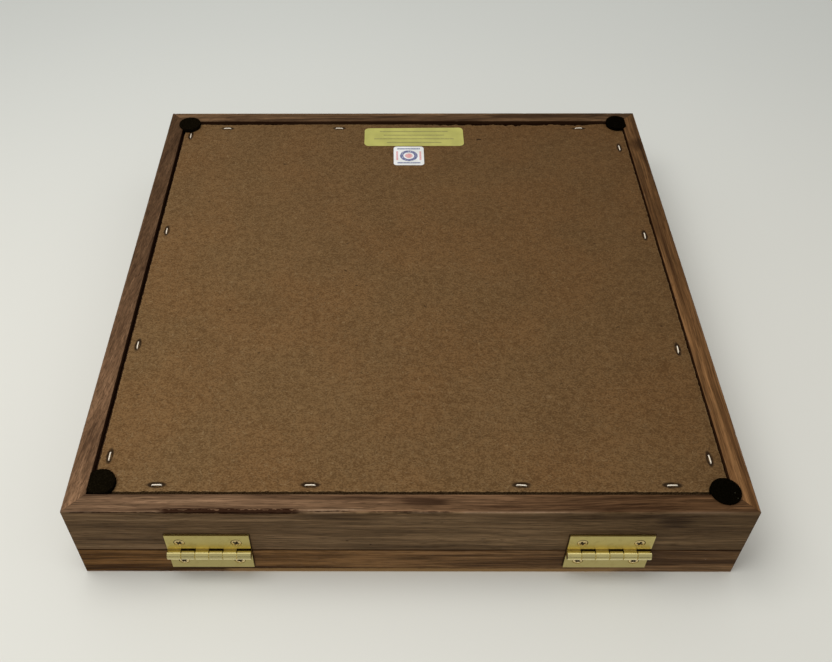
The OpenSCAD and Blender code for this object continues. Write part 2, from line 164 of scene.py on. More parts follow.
class PanelSettings(bpy.types.PropertyGroup):
    pale: colour("Pale pulp", "Colour of the paler pulp", (0.182, 0.107, 0.045))
    dark: colour("Dark pulp", "Colour of the darker pulp", (0.101, 0.054, 0.020))
    torn: colour("Torn fibre", "Colour of freshly torn board", (0.30, 0.19, 0.09))
    tear: length("Tear", "How far the front edge is torn back at most", 1.9)
    dent: length("Dent", "Depth to which the staples are driven", 0.5)


class LabelSettings(bpy.types.PropertyGroup):
    gold: colour("Gold", "Colour of the wide label", (0.43, 0.41, 0.092))
    ruling: colour("Ruling", "Colour of the ruled lines", (0.10, 0.085, 0.03))
    white: colour("White", "Ground of the square label", (0.78, 0.79, 0.80))
    blue: colour("Blue", "Colour of the ring on the square label", (0.04, 0.055, 0.19))
    rose: colour("Rose", "Colour of the disc on the square label", (0.62, 0.22, 0.22))
    thickness: length("Thickness", "Thickness of the paper", 0.12)


class BrassSettings(bpy.types.PropertyGroup):
    leaf: colour("Leaves", "Colour of the satin brass", (0.80, 0.66, 0.235))
    tarnish: colour("Tarnish", "Colour of the brass where it has toned", (0.42, 0.30, 0.08))
    screw: colour("Screws", "Colour of the plated screws", (1.0, 0.77, 0.36))
    bevel: length("Bevel", "Width of the broken edges of the brass", 0.10)


class FeltSettings(bpy.types.PropertyGroup):
    colour: colour("Felt", "Colour of the felt", (0.0034, 0.0024, 0.0010))
    fibre: length("Fibre", "Length of the loose fibres", 0.5)
    density: FloatProperty(
        name="Fibres", description="Loose fibres on a square millimetre", min=0, default=5)
    seed: IntProperty(name="Seed", description="Seed of the fibres' places", default=7)


class StageSettings(bpy.types.PropertyGroup):
    floor: colour("Floor", "Colour of the pale table", (0.745, 0.745, 0.70))
    backdrop: colour("Backdrop", "Colour past the table's edge", (0.60, 0.61, 0.58))
    ambient: FloatProperty(
        name="Ambient", description="Strength of the even light from all round", min=0, default=0.54)
    key: FloatProperty(
        name="Key", description="Power of each of the two large lamps", unit="POWER", min=0,
        default=3.6)
    camera_place: FloatVectorProperty(
        name="Camera", description="Place of the camera", subtype="TRANSLATION",
        default=(-0.00921, 0.37214, -0.35064))
    camera_turn: FloatVectorProperty(
        name="Camera turn", description="Turn of the camera about X, Y and Z", subtype="EULER",
        default=(math.radians(-135.5239), math.radians(-0.1902), math.radians(-0.1874)))
    lens: FloatProperty(name="Lens", description="Focal length in millimetres", min=1, default=40.415)


class CoinCaseSettings(bpy.types.PropertyGroup):
    walnut: PointerProperty(type=WalnutSettings)
    panel: PointerProperty(type=PanelSettings)
    labels: PointerProperty(type=LabelSettings)
    brass: PointerProperty(type=BrassSettings)
    felt: PointerProperty(type=FeltSettings)
    stage: PointerProperty(type=StageSettings)


# Node trees

class Wire:
    """The output of a node. Signs between wires and numbers place math nodes."""

    def __init__(self, socket):
        self.socket = socket
        self.tree = socket.id_data

    def __add__(self, other):
        return maths("ADD", self, other)

    def __radd__(self, other):
        return maths("ADD", other, self)

    def __sub__(self, other):
        return maths("SUBTRACT", self, other)

    def __rsub__(self, other):
        return maths("SUBTRACT", other, self)

    def __mul__(self, other):
        return maths("MULTIPLY", self, other)

    def __rtruediv__(self, other):
        return maths("DIVIDE", other, self)


class Placed:
    """A node in its tree. Its outputs are had as wires, by name or number."""

    def __init__(self, made):
        self.made = made

    def __getitem__(self, key):
        return Wire(self.made.outputs[key])


def tree_of(*values):
    """The tree of the first wire among these values."""
    return next(value.tree for value in values if isinstance(value, Wire))


def feed(made, values):
    """Gives a node's inputs their wires, numbers, colours or objects."""
    for key, value in values.items():
        if isinstance(value, Wire):
            value.tree.links.new(value.socket, made.inputs[key])
        else:
            made.inputs[key].default_value = value


def spaced(values):
    """Sockets by their own names, from keywords with underscores for spaces."""
    return {key.replace("_", " "): value for key, value in values.items()}


def node(tree, kind, sockets=None, **settings):
    """Adds a node with these settings and inputs."""
    made = tree.nodes.new(kind)
    for name, value in settings.items():
        setattr(made, name, value)
    feed(made, sockets or {})
    return Placed(made)


def maths(operation, a, b=0.0, clamp=False):
    sockets = {0: a, 1: b}
    return node(tree_of(a, b), "ShaderNodeMath", sockets, operation=operation, use_clamp=clamp)[0]


def vectors(operation, a, b):
    return node(a.tree, "ShaderNodeVectorMath", {0: a, 1: b}, operation=operation)[0]


def length_of(vector):
    return node(vector.tree, "ShaderNodeVectorMath", {0: vector}, operation="LENGTH")["Value"]


def axes(vector):
    """A vector's parts, as X, Y and Z."""
    return node(vector.tree, "ShaderNodeSeparateXYZ", {0: vector})


def joined_axes(**parts):
    """A vector made of its parts, given as X, Y and Z."""
    return node(tree_of(*parts.values()), "ShaderNodeCombineXYZ", parts)[0]


def mixed(factor, a, b, blend="MIX"):
    """Two colours mixed by a factor."""
    sockets = {0: factor, 6: a, 7: b}
    return node(tree_of(factor, a, b), "ShaderNodeMix", sockets, data_type="RGBA", blend_type=blend)[2]


def spread(value, start, end, low_value=0.0, high_value=1.0):
    """Maps a value from start..end to 0..1, smoothly, and clamps it."""
    sockets = {0: value, 1: start, 2: end, 3: low_value, 4: high_value}
    return node(value.tree, "ShaderNodeMapRange", sockets, interpolation_type="SMOOTHSTEP")[0]


def grain_noise(vector, scale, detail=2.0, roughness=0.5):
    """Noise with its own scale on each axis."""
    sockets = {
        "Vector": vectors("MULTIPLY", vector, scale), "Scale": 1.0, "Detail": detail,
        "Roughness": roughness}
    return node(vector.tree, "ShaderNodeTexNoise", sockets)


def even_noise(vector, scale, detail=2.0, roughness=0.5):
    """Noise with the same scale on every axis."""
    return grain_noise(vector, (scale, scale, scale), detail, roughness)


def opaque(rgb):
    """A colour property's value with full alpha."""
    return (*rgb, 1.0)


def group_tree(name, inputs, outputs):
    """A shader node group with named sockets. Inputs are (name, kind, default)."""
    tree = bpy.data.node_groups.new(name, "ShaderNodeTree")
    for label, kind, default in inputs:
        socket = tree.interface.new_socket(label, in_out="INPUT", socket_type="NodeSocket" + kind)
        socket.default_value = default
    for label, kind in outputs:
        tree.interface.new_socket(label, in_out="OUTPUT", socket_type="NodeSocket" + kind)
    return tree, node(tree, "NodeGroupInput")


def shader(name):
    """A new material: itself, its tree and its Principled shader."""
    material = bpy.data.materials.new(name)
    material.use_nodes = True
    return material, material.node_tree, Placed(material.node_tree.nodes["Principled BSDF"])


def connect(principled, **sockets):
    """Feeds the shader, with underscores for spaces in its sockets' names."""
    feed(principled.made, spaced(sockets))


def surfaced(tree, share, first, second):
    """Shows a mix of two shaders on the surface."""
    both = node(tree, "ShaderNodeMixShader", {0: share, 1: first, 2: second})
    feed(tree.nodes["Material Output"], {"Surface": both[0]})


def object_mm(tree, turn=0.0, centre=(0.0, 0.0, 0.0)):
    """Object coordinates in millimetres from a centre, turned about Z by an angle in degrees."""
    place = node(tree, "ShaderNodeTexCoord")["Object"]
    sockets = {
        "Vector": place, "Location": Vector(centre) * MM, "Rotation": (0, 0, math.radians(turn)),
        "Scale": (MM, MM, MM)}
    return node(tree, "ShaderNodeMapping", sockets, vector_type="TEXTURE")[0]


def attribute(tree, name):
    """A value painted on the mesh."""
    return node(tree, "ShaderNodeAttribute", attribute_name=name)["Fac"]


def bump(height, distance):
    """Relief of a height field, with its depth in millimetres."""
    return node(height.tree, "ShaderNodeBump", {"Height": height, "Distance": distance * MM})[0]


# Effects shared by the materials

def walnut_group():
    """Walnut figure. The vector is in millimetres with X along the board."""
    tree, given = group_tree("Walnut figure", [
        ("Vector", "Vector", (0, 0, 0)), ("Board", "Vector", (0, 0, 0)), ("Slant", "Float", 0.0),
        ("Pale", "Color", (1, 1, 1, 1)), ("Middle", "Color", (1, 1, 1, 1)),
        ("Dark", "Color", (0, 0, 0, 1)), ("Start tint", "Color", (1, 1, 1, 1)),
        ("End tint", "Color", (1, 1, 1, 1)), ("Shade", "Float", 0.0), ("Streaks", "Float", 1.0),
        ("Sway", "Float", 6.0),
    ], [("Color", "Color"), ("Roughness", "Float"), ("Height", "Float")])
    along = axes(given["Vector"])["X"]
    # The figure leans across the board and sways along it
    lean = along * given["Slant"]
    leaning = joined_axes(Y=lean, Z=lean)
    board = vectors("ADD", vectors("ADD", given["Vector"], given["Board"]), leaning)
    sway = grain_noise(board, (0.010, 0.02, 0.02), 2.0)["Color"]
    sway = vectors("SUBTRACT", sway, (0.5, 0.5, 0.5))
    swung = node(tree, "ShaderNodeVectorMath", {0: sway, 3: given["Sway"]}, operation="SCALE")[0]
    flowing = vectors("ADD", board, vectors("MULTIPLY", swung, (0, 1, 1)))
    wide = grain_noise(flowing, (0.007, 0.13, 0.13), 2.0, 0.5)[0]
    middle = grain_noise(flowing, (0.014, 0.42, 0.42), 2.0, 0.5)[0]
    fine = grain_noise(flowing, (0.028, 1.15, 1.15), 3.0, 0.6)[0]
    figure = wide * 0.42 + middle * 0.34 + fine * 0.24
    figure = (figure - 0.5) * given["Streaks"] + 0.5 - given["Shade"] * 0.12
    darker = spread(figure, 0.50, 0.40)
    paler = spread(figure, 0.49, 0.60)
    wood = mixed(paler, given["Middle"], given["Pale"])
    wood = mixed(darker, wood, given["Dark"])
    # Pores are short dark dashes along the board, more of them in the dark figure
    hair = grain_noise(flowing, (0.09, 3.0, 3.0), 2.0, 0.6)[0]
    pore_noise = grain_noise(flowing, (0.15, 3.4, 3.4), 1.0)[0]
    pores = spread(pore_noise + darker * 0.06, 0.58, 0.68)
    wood = mixed(pores * 0.60, wood, given["Dark"])
    lines = grain_noise(flowing, (0.05, 1.8, 1.8), 2.0, 0.6)[0]
    lines = mixed(spread(lines, 0.34, 0.66), (0.74, 0.74, 0.72, 1), (1.22, 1.20, 1.18, 1))
    wood = mixed(1.0, wood, lines, "MULTIPLY")
    # A tint from the start of the board to its end: the wood's own tone, and also painted falloff of
    # the light along the rail
    share = spread(along, -CASE_HALF, CASE_HALF)
    tint = mixed(share, given["Start tint"], given["End tint"])
    wood = mixed(1.0, wood, tint, "MULTIPLY")
    rough = 0.50 + pores * 0.25 - paler * 0.08
    height = hair * 0.5 + fine * 0.6 - pores * 0.8
    node(tree, "NodeGroupOutput", {"Color": wood, "Roughness": rough, "Height": height})
    return tree


def patch_group():
    """A soft oval patch about a centre."""
    tree, given = group_tree("Soft patch", [
        ("Vector", "Vector", (0, 0, 0)), ("Centre", "Vector", (0, 0, 0)),
        ("Size", "Vector", (1, 1, 1))], [("Mask", "Float")])
    share = vectors("DIVIDE", vectors("SUBTRACT", given["Vector"], given["Centre"]), given["Size"])
    distance = length_of(share)
    node(tree, "NodeGroupOutput", {"Mask": spread(distance, 1.0, 0.25)})
    return tree


def crack_group():
    """A thin line that wanders along the back: the splits beside its lower arris, and the painted band
    of bounce light near the lid's top.

    The level runs from the arris: up the back face above 0, and in along the underside below 0.
    """
    tree, given = group_tree("Split line", [
        ("Vector", "Vector", (0, 0, 0)), ("Level", "Float", 0.0), ("Wander", "Float", 0.3),
        ("Half width", "Float", 0.3), ("Start", "Float", 0.0), ("End", "Float", 10.0),
        ("Ragged", "Float", 1.0)],
        [("Mask", "Float")])
    parts = axes(given["Vector"])
    line = joined_axes(X=parts["X"], Y=given["Level"] * 9.0)
    slow = grain_noise(line, (0.09, 1, 1), 3.0, 0.6)[0]
    quick = grain_noise(line, (0.28, 3, 1), 2.0, 0.6)[0]
    wander = (slow - 0.5) * (given["Wander"] * 4.0)
    level = given["Level"] + wander
    unrolled = parts["Z"] + parts["Y"] - (CASE_HALF + BASE_Z)
    off = maths("ABSOLUTE", unrolled - level)
    uneven = spread(quick, 0.30, 0.66, -0.85, 0.6) * given["Ragged"]
    half = given["Half width"] * (uneven + 1.0)
    into = half - off
    mask = spread(into, -0.06, 0.14)
    rising = spread(parts["X"] - given["Start"], 0.0, 6.0)
    falling = spread(given["End"] - parts["X"], 0.0, 9.0)
    mask = mask * (rising * falling)
    outside = maths("GREATER_THAN", parts["Y"], CASE_HALF - 5.0)
    node(tree, "NodeGroupOutput", {"Mask": mask * outside})
    return tree


def box_group():
    """A bar with crisp edges about a centre: printed on the labels, and painted shade round the hinge
    leaves.
    """
    tree, given = group_tree("Printed bar", [
        ("Vector", "Vector", (0, 0, 0)), ("Centre", "Vector", (0, 0, 0)),
        ("Half size", "Vector", (1, 1, 1))], [("Mask", "Float")])
    away = vectors("SUBTRACT", given["Vector"], given["Centre"])
    away = node(tree, "ShaderNodeVectorMath", {0: away}, operation="ABSOLUTE")[0]
    parts = axes(vectors("SUBTRACT", given["Half size"], away))
    least = maths("MINIMUM", parts["X"], parts["Y"])
    node(tree, "NodeGroupOutput", {"Mask": spread(least, -0.08, 0.08)})
    return tree


def speck_group():
    """Scattered specks, such as dust, lint and flecks of bark."""
    tree, given = group_tree("Specks", [
        ("Vector", "Vector", (0, 0, 0)), ("Spacing", "Float", 5.0), ("Size", "Float", 0.3),
        ("Share", "Float", 0.3)], [("Mask", "Float")])
    scale = 1.0 / given["Spacing"]
    sockets = {"Vector": given["Vector"], "Scale": scale, "Randomness": 1.0}
    cells = node(tree, "ShaderNodeTexVoronoi", sockets)
    distance = cells["Distance"] * given["Spacing"]
    chance = axes(cells["Color"])
    size = given["Size"] * (chance["Y"] + 0.4)
    near = spread(distance - size, 0.0, -0.12)
    kept = maths("LESS_THAN", chance["X"], given["Share"])
    node(tree, "NodeGroupOutput", {"Mask": near * kept})
    return tree


def fibre_group():
    """Short fibres lying in three directions."""
    tree, given = group_tree("Lying fibres", [
        ("Vector", "Vector", (0, 0, 0)), ("Width", "Float", 0.2), ("Length", "Float", 2.4)],
        [("Mask", "Float")])
    most = 0.0
    for turn in (0.35, 1.5, 2.6):
        turned = node(tree, "ShaderNodeVectorRotate", {"Vector": given["Vector"], "Angle": turn})[0]
        across = 1.0 / given["Width"]
        down = 1.0 / given["Length"]
        scale = joined_axes(X=down, Y=across, Z=down)
        field = grain_noise(turned, scale, 0.0)[0]
        most = maths("MAXIMUM", most, spread(field, 0.70, 0.80))
    node(tree, "NodeGroupOutput", {"Mask": most})
    return tree


def brass_group():
    """Satin brass: fine lengthwise scratches, clouding, toned spots, and the darkening it is given,
    which is painted shade beside the hinge barrel.
    """
    tree, given = group_tree("Satin brass", [
        ("Vector", "Vector", (0, 0, 0)), ("Brass", "Color", (1, 1, 1, 1)),
        ("Tarnish", "Color", (1, 1, 1, 1)), ("Toned", "Float", 0.0), ("Satin", "Float", 0.3)],
        [("Color", "Color"), ("Roughness", "Float"), ("Height", "Float")])
    scratches = grain_noise(given["Vector"], (0.25, 9.0, 9.0), 2.0, 0.6)[0]
    cloud = even_noise(given["Vector"], 0.28, 3.0, 0.6)[0]
    spots = even_noise(given["Vector"], 2.2, 2.0, 0.5)[0]
    toned_and_shaded = given["Toned"] + spread(spots, 0.62, 0.78) * 0.28
    toned_and_shaded = maths("ADD", toned_and_shaded, spread(cloud, 0.48, 0.72) * 0.22, True)
    metal = mixed(toned_and_shaded, given["Brass"], given["Tarnish"])
    rough = given["Satin"] + cloud * 0.12 + toned_and_shaded * 0.15
    node(tree, "NodeGroupOutput", {"Color": metal, "Roughness": rough, "Height": scratches})
    return tree


GROUPS = {}
GROUP_MAKERS = {
    "walnut": walnut_group, "patch": patch_group, "bar": box_group, "specks": speck_group,
    "fibres": fibre_group, "brass": brass_group, "crack": crack_group}


def effect(name, **sockets):
    """Places a shared node group, which is built when it is first asked for."""
    if name not in GROUPS:
        GROUPS[name] = GROUP_MAKERS[name]()
    tree = tree_of(*sockets.values())
    return node(tree, "ShaderNodeGroup", spaced(sockets), node_tree=GROUPS[name])


# Materials

class Board:
    """How one rail was cut: its place in the plank, the lean and sway of its figure, its tints. The
    tints also paint the falloff of the light along the rail.
    """

    def __init__(self, plank, slant, start, end, streaks=1.0, sway=6.0, patches=(), cracks=(),
                 face=None, leaves=()):
        self.plank = plank
        self.slant = slant
        self.start = start
        self.end = end
        self.streaks = streaks
        self.sway = sway
        # Dark figure and pin knots: centre and size in millimetres, and depth. A negative depth makes
        # the figure paler: the long pale patch down the middle of the base's back face is painted light
        self.patches = patches
        # Thin splits: level, wander, half width, start, end, raggedness and colour. The tan band near
        # the top of the lid's back is no split but painted bounce light from the table
        self.cracks = cracks
        # Tints of the outer face at its start and end and its streaks, where they differ from the rest;
        # these tints also paint the falloff of the light along that face
        self.face = face or (start, end, streaks)
        # Hinge leaves with a painted line of shade round them
        self.leaves = leaves


SPLIT = (0.020, 0.007, 0.003, 1)
# Colour of the painted shade on the brass
PAINTED_SHADE_TONE = (0.030, 0.016, 0.006, 1)
SPLINTERED = (0.26, 0.17, 0.105, 1)

BOARDS = {
    "base_front": Board((40, 310, 7), 0.03, (0.82, 0.80, 0.76), (0.83, 0.82, 0.77)),
    "base_right": Board((700, 120, 31), 0.0, (0.66, 0.56, 0.40), (1.18, 1.01, 0.75), 0.8, 3.0, (
        ((148, -117, 1), (6, 9, 4), 0.8), ((146.5, -20, 1), (1.6, 70, 3), 0.5),
        ((148, 60, 1), (1.4, 50, 3), 0.45))),
    "base_back": Board((1310, 45, 12), 0.008, (0.71, 0.62, 0.52), (1.18, 1.20, 1.28), 0.85, 5.0, (
        # The first patch on this line is painted light: it makes the middle of the back face paler
        ((-15, 152.4, 18), (110, 1.6, 22), -0.35), ((-12, 147, 1), (34, 4, 3), 0.4),
        ((6, 147, 1), (17, 3.5, 4), 1.0),
        ((95, 149, 1), (40, 2.2, 3), 0.5),
        ((-30, 153, 5), (30, 3, 5), 0.7),
        ((117, 153, 9), (12, 3, 6), 0.6),
        ((-28, 152, 24.5), (0.9, 2, 0.6), 2.4),
        ((-17.5, 152, 27.6), (0.7, 2, 0.5), 2.4)), (
        (0.1, 0.06, 0.30, -152, -44, 0.7, SPLIT),
        (-0.4, 0.12, 1.15, -112, -43, 0.5, SPLIT),
        (-1.9, 0.16, 0.24, -104, -44, 0.8, SPLIT),
        (-1.4, 0.16, 0.34, -50, -17, 0.7, SPLINTERED),
        (-0.7, 0.14, 0.26, -46, -22, 0.8, SPLIT),
        (-0.4, 0.10, 0.28, -20, 22, 0.8, SPLIT),
        (-0.2, 0.06, 0.24, 18, 72, 0.8, SPLINTERED)),
        ((0.87, 0.92, 0.83), (1.14, 1.22, 1.16), 0.6),
        ("hinge_left_base_leaf", "hinge_right_base_leaf")),
    "base_left": Board((220, 810, 55), -0.13, (1.14, 1.10, 1.12), (0.57, 0.53, 0.50), 0.58, 4.0),
    "lid_front": Board((2040, 60, 3), 0.02, (0.85, 0.70, 0.58), (0.80, 0.66, 0.52)),
    "lid_right": Board((2800, 205, 71), 0.015, (0.90, 0.74, 0.55), (0.95, 0.78, 0.60)),
    "lid_back": Board((3450, 510, 25), 0.01, (0.88, 0.76, 0.62), (0.84, 0.72, 0.58), 0.9, 3.0, (), (
        # A tan band beside the table: painted bounce light from the table, drawn as a split
        (49.9, 0.03, 1.7, -88, 102, 0.1, (0.26, 0.15, 0.058, 1)),),
        ((1.18, 1.12, 0.94), (0.90, 0.74, 0.42), 1.1),
        ("hinge_left_lid_leaf", "hinge_right_lid_leaf")),
    "lid_left": Board((4100, 333, 18), 0.05, (0.85, 0.72, 0.62), (0.85, 0.70, 0.58)),
}


def walnut(name, side, board, settings):
    """Oiled walnut along one side of the case."""
    material, tree, principled = shader(name)
    place = object_mm(tree, SIDES[side])
    level = object_mm(tree)
    shade = 0.0
    for centre, size, depth in board.patches:
        mask = effect("patch", Vector=level, Centre=centre, Size=size)["Mask"]
        shade = shade + mask * depth
    parts = axes(place)
    outer = maths("LESS_THAN", parts["Y"], 0.45 - CASE_HALF)
    start = mixed(outer, opaque(board.start), opaque(board.face[0]))
    end = mixed(outer, opaque(board.end), opaque(board.face[1]))
    wood = effect(
        "walnut", Vector=place, Board=board.plank, Slant=board.slant, Pale=opaque(settings.pale),
        Middle=opaque(settings.middle), Dark=opaque(settings.dark), Start_tint=start, End_tint=end,
        Shade=shade, Streaks=spread(outer, 0.0, 1.0, board.streaks, board.face[2]), Sway=board.sway)
    # Arrises rubbed pale by handling, and stretches of the back rail's arris painted pale as a painted
    # highlight; the dark bottoms of splits and mitres, and the recess walls painted dark as painted
    # shade
    worn = attribute(tree, "worn") * 0.55
    finish = mixed(worn, wood["Color"], (0.30, 0.20, 0.13, 1))
    split = attribute(tree, "split")
    finish = mixed(split, finish, SPLIT)
    # Splits, and the tan band on the lid, which is painted bounce light
    for level_mm, wander, half, start, end, ragged, tone in board.cracks:
        mask = effect(
            "crack", Vector=level, Level=level_mm, Wander=wander, Half_width=half, Start=start,
            End=end, Ragged=ragged)["Mask"]
        finish = mixed(mask * 0.92, finish, tone)
    flat = axes(level)
    upright = joined_axes(X=flat["X"], Y=flat["Z"])
    # Painted shade: a dark line round each hinge leaf, where it meets the wood
    for leaf in board.leaves:
        lo, hi = (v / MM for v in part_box(leaf))
        middle, half = (lo + hi) / 2, (hi - lo) / 2
        mask = effect(
            "bar", Vector=upright, Centre=(middle.x, middle.z, 0),
            Half_size=(half.x + 0.4, half.z + 0.4, 1))
        painted_shade_mask = mask["Mask"] * outer
        finish = mixed(painted_shade_mask * 0.85, finish, SPLIT)
    dust = effect("specks", Vector=level, Spacing=17.0, Size=0.16, Share=0.3)
    finish = mixed(dust["Mask"] * 0.55, finish, (0.5, 0.46, 0.40, 1))
    rough = maths("ADD", wood["Roughness"], split * 0.4, True)
    connect(principled, Base_Color=finish, Roughness=rough, Specular_IOR_Level=0.02,
            Normal=bump(wood["Height"], 0.05))
    return material


def hardboard(settings):
    """Brown board of pressed pulp, with pale fibres, dark flecks and torn edges."""
    material, tree, principled = shader("pressed_hardboard")
    place = object_mm(tree)
    cloud = even_noise(place, 0.035, 4.0, 0.6)[0]
    mottle = grain_noise(place, (0.26, 0.34, 0.30), 3.0, 0.6)[0]
    pulp = grain_noise(place, (1.1, 1.5, 1.2), 3.0, 0.7)[0]
    level = cloud * 0.09 + mottle * 0.24 + pulp * 0.67
    board = mixed(spread(level, 0.40, 0.60), opaque(settings.dark), opaque(settings.pale))
    warm = even_noise(place, 0.018, 2.0)[0]
    board = mixed(spread(warm, 0.40, 0.62), board, (1.03, 0.98, 0.94, 1), "MULTIPLY")
    flow = vectors("ADD", place, vectors("MULTIPLY", even_noise(place, 0.4, 1.0)["Color"], (3, 3, 3)))
    fibres = effect("fibres", Vector=flow, Width=0.40, Length=3.4)["Mask"]
    board = mixed(fibres * 0.50, board, (0.25, 0.165, 0.080, 1))
    stretched = vectors("MULTIPLY", flow, (0.6, 1.2, 1.0))
    # Pale chips, small dark flecks and a few darker knots of bark
    for spacing, size, share, depth, tone in (
            (4.6, 0.50, 0.30, 0.40, (0.23, 0.15, 0.075, 1)),
            (2.3, 0.32, 0.40, 0.36, (0.045, 0.022, 0.009, 1)),
            (6.5, 0.48, 0.40, 0.62, (0.028, 0.013, 0.005, 1)),
            (21.0, 0.75, 0.45, 0.88, (0.018, 0.008, 0.004, 1))):
        flecks = effect("specks", Vector=stretched, Spacing=spacing, Size=size, Share=share)["Mask"]
        board = mixed(flecks * depth, board, tone)
    # The far right corner is painted darker than the near left one, as painted falloff of the light
    parts = axes(place)
    light_falloff = parts["X"] * 0.85 + parts["Y"] * -0.45
    board = mixed(spread(light_falloff, -190.0, 190.0), board, (0.72, 0.68, 0.63, 1), "MULTIPLY")
    torn = attribute(tree, "torn")
    fray = torn * spread(pulp, 0.36, 0.60)
    board = mixed(fray * 0.75, board, opaque(settings.torn))
    pressed = attribute(tree, "pressed")
    board = mixed(pressed * 0.90, board, (0.014, 0.007, 0.003, 1))
    height = pulp + fibres * 0.5
    connect(principled, Base_Color=board, Roughness=0.78, Specular_IOR_Level=0.10,
            Normal=bump(height, 0.16))
    return material


def brass(name, base, settings, satin, barrel_shade=0.0, holes=()):
    """Satin brass. Barrel shade paints the leaves darker beside the barrel, as painted shade.

    Holes are the places of countersinks, as (x, z, radius), with painted shade below their screws.
    """
    material, tree, principled = shader(name)
    place = object_mm(tree)
    parts = axes(place)
    barrel = maths("GREATER_THAN", parts["Y"], CASE_HALF + LEAF_T + 0.3)
    toned_and_shaded = 0.0
    # Painted shade: the leaves are painted darker beside the barrel
    if barrel_shade:
        off_axis = maths("ABSOLUTE", parts["Z"] - HINGE_AXIS_Z)
        beside = spread(off_axis, 3.6, 2.4) * barrel_shade
        toned_and_shaded = beside * (1.0 - barrel)
    metal = effect(
        "brass", Vector=place, Brass=opaque(base), Tarnish=opaque(settings.tarnish), Toned=toned_and_shaded,
        Satin=satin)
    # Painted shade from the mesh: the countersinks' lower walls and the screws' recesses are painted
    # dark and dull
    painted_shade = attribute(tree, "painted_shade")
    finish = mixed(painted_shade * 0.92, metal["Color"], PAINTED_SHADE_TONE)
    rough = maths("ADD", metal["Roughness"], painted_shade * 0.4, True)
    # Painted shade: a dark crescent on the leaf below each screw head
    for x, z, radius in holes:
        mask = effect(
            "patch", Vector=place, Centre=(x, 0, z - 0.45), Size=(radius + 0.2, 1e4, radius + 0.3))
        painted_shade_mask = spread(mask["Mask"], 0.02, 0.14)
        finish = mixed(painted_shade_mask * 0.85, finish, PAINTED_SHADE_TONE)
    # The barrel is polished by handling, which lowers its roughness; its colour is painted paler as a
    # painted highlight
    finish = mixed(barrel * 0.35, finish, (1.0, 0.90, 0.52, 1))
    rough = maths("SUBTRACT", rough, barrel * 0.14, True)
    metallic = 1.0 - painted_shade
    connect(principled, Base_Color=finish, Roughness=rough, Metallic=metallic,
            Specular_IOR_Level=0.1, Normal=bump(metal["Height"], 0.006))
    return material


def staple_wire():
    """Zinc coated wire, its colour, roughness and relief mottled by noise."""
    material, tree, principled = shader("zinc_wire")
    place = object_mm(tree)
    drawn = grain_noise(place, (3.0, 3.0, 9.0), 2.0)[0]
    wire = mixed(spread(drawn, 0.42, 0.62), (1.0, 0.91, 0.78, 1), (0.80, 0.70, 0.54, 1))
    connect(principled, Base_Color=wire, Metallic=0.3, Normal=bump(drawn, 0.02),
            Roughness=0.20 + drawn * 0.25)
    return material


def felt(name, base, lint):
    """Matted black fibres with a little lint on them, painted darker towards +X as painted falloff of
    the light.
    """
    material, tree, principled = shader(name)
    place = object_mm(tree)
    matted = even_noise(place, 2.6, 4.0, 0.7)[0]
    fibres = effect("fibres", Vector=place, Width=0.11, Length=1.1)["Mask"]
    pale = tuple(7.0 * x + 0.004 for x in base)
    cloth = mixed(fibres * 0.7, opaque(base), opaque(pale))
    cloth = mixed(spread(matted, 0.55, 0.80), cloth, opaque(pale))
    specks = effect("specks", Vector=place, Spacing=3.4, Size=0.22, Share=lint)["Mask"]
    cloth = mixed(specks * 0.40, cloth, (0.22, 0.20, 0.15, 1))
    # Painted falloff of the light: the cloth is painted darker towards +X
    across = axes(place)["X"]
    darker = mixed(1.0, cloth, (0.45, 0.48, 0.42, 1), "MULTIPLY")
    cloth = mixed(spread(across, -CASE_HALF, CASE_HALF), cloth, darker)
    height = matted + fibres * 0.5
    connect(principled, Base_Color=cloth, Roughness=0.95, Specular_IOR_Level=0.0,
            Normal=bump(height, 0.07))
    return material


def clear_glass():
    """Float glass, green at its edges. Light on the lining passes straight through it."""
    material, tree, principled = shader("float_glass")
    connect(principled, Base_Color=(0.93, 0.97, 0.955, 1), Roughness=0.0, IOR=1.5,
            Transmission_Weight=1.0)
    path = node(tree, "ShaderNodeLightPath")
    through = maths("MAXIMUM", path["Is Shadow Ray"], path["Is Diffuse Ray"])
    clear = node(tree, "ShaderNodeBsdfTransparent", {0: (0.93, 0.96, 0.95, 1)})
    surfaced(tree, through, principled[0], clear[0])
    return material


# Mesh work

def from_bmesh(name, bm, material, smooth=40):
    """A mesh object at the origin, smooth apart from edges sharper than this many degrees."""
    mesh = bpy.data.meshes.new(name)
    bm.to_mesh(mesh)
    bm.free()
    return from_mesh(name, mesh, material, smooth)


def linked(name, data):
    """A new object in the scene."""
    made = bpy.data.objects.new(name, data)
    bpy.context.scene.collection.objects.link(made)
    return made


def from_mesh(name, mesh, material, smooth=40):
    made = linked(name, mesh)
    mesh.materials.clear()
    mesh.materials.append(material)
    mesh.shade_smooth()
    mesh.set_sharp_from_angle(angle=math.radians(smooth))
    return made


def settled(made):
    """Turns an object's evaluated shape into a plain mesh and drops its modifiers."""
    bpy.context.view_layer.update()
    graph = bpy.context.evaluated_depsgraph_get()
    mesh = bpy.data.meshes.new_from_object(made.evaluated_get(graph))
    made.modifiers.clear()
    made.data = mesh
    return made


def attach(made, body, slot, *nodes):
    """Makes a finished piece ride on a body in place of these nodes."""
    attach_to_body(made, body)
    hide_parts(*nodes)
    return made


def body_of(name):
    """The body that carries a node."""
    for body, nodes in frame["record"]["behaviour"]["bodies"].items():
        if name in nodes:
            return body
    raise RuntimeError(f"no body carries {name}")


def slot_of(name):
    """The finish that the record gives a node."""
    for part in frame["record"]["subparts"]:
        if part["node"] == name:
            return part["material_slot"]
    raise RuntimeError(f"the record has no finish for {name}")


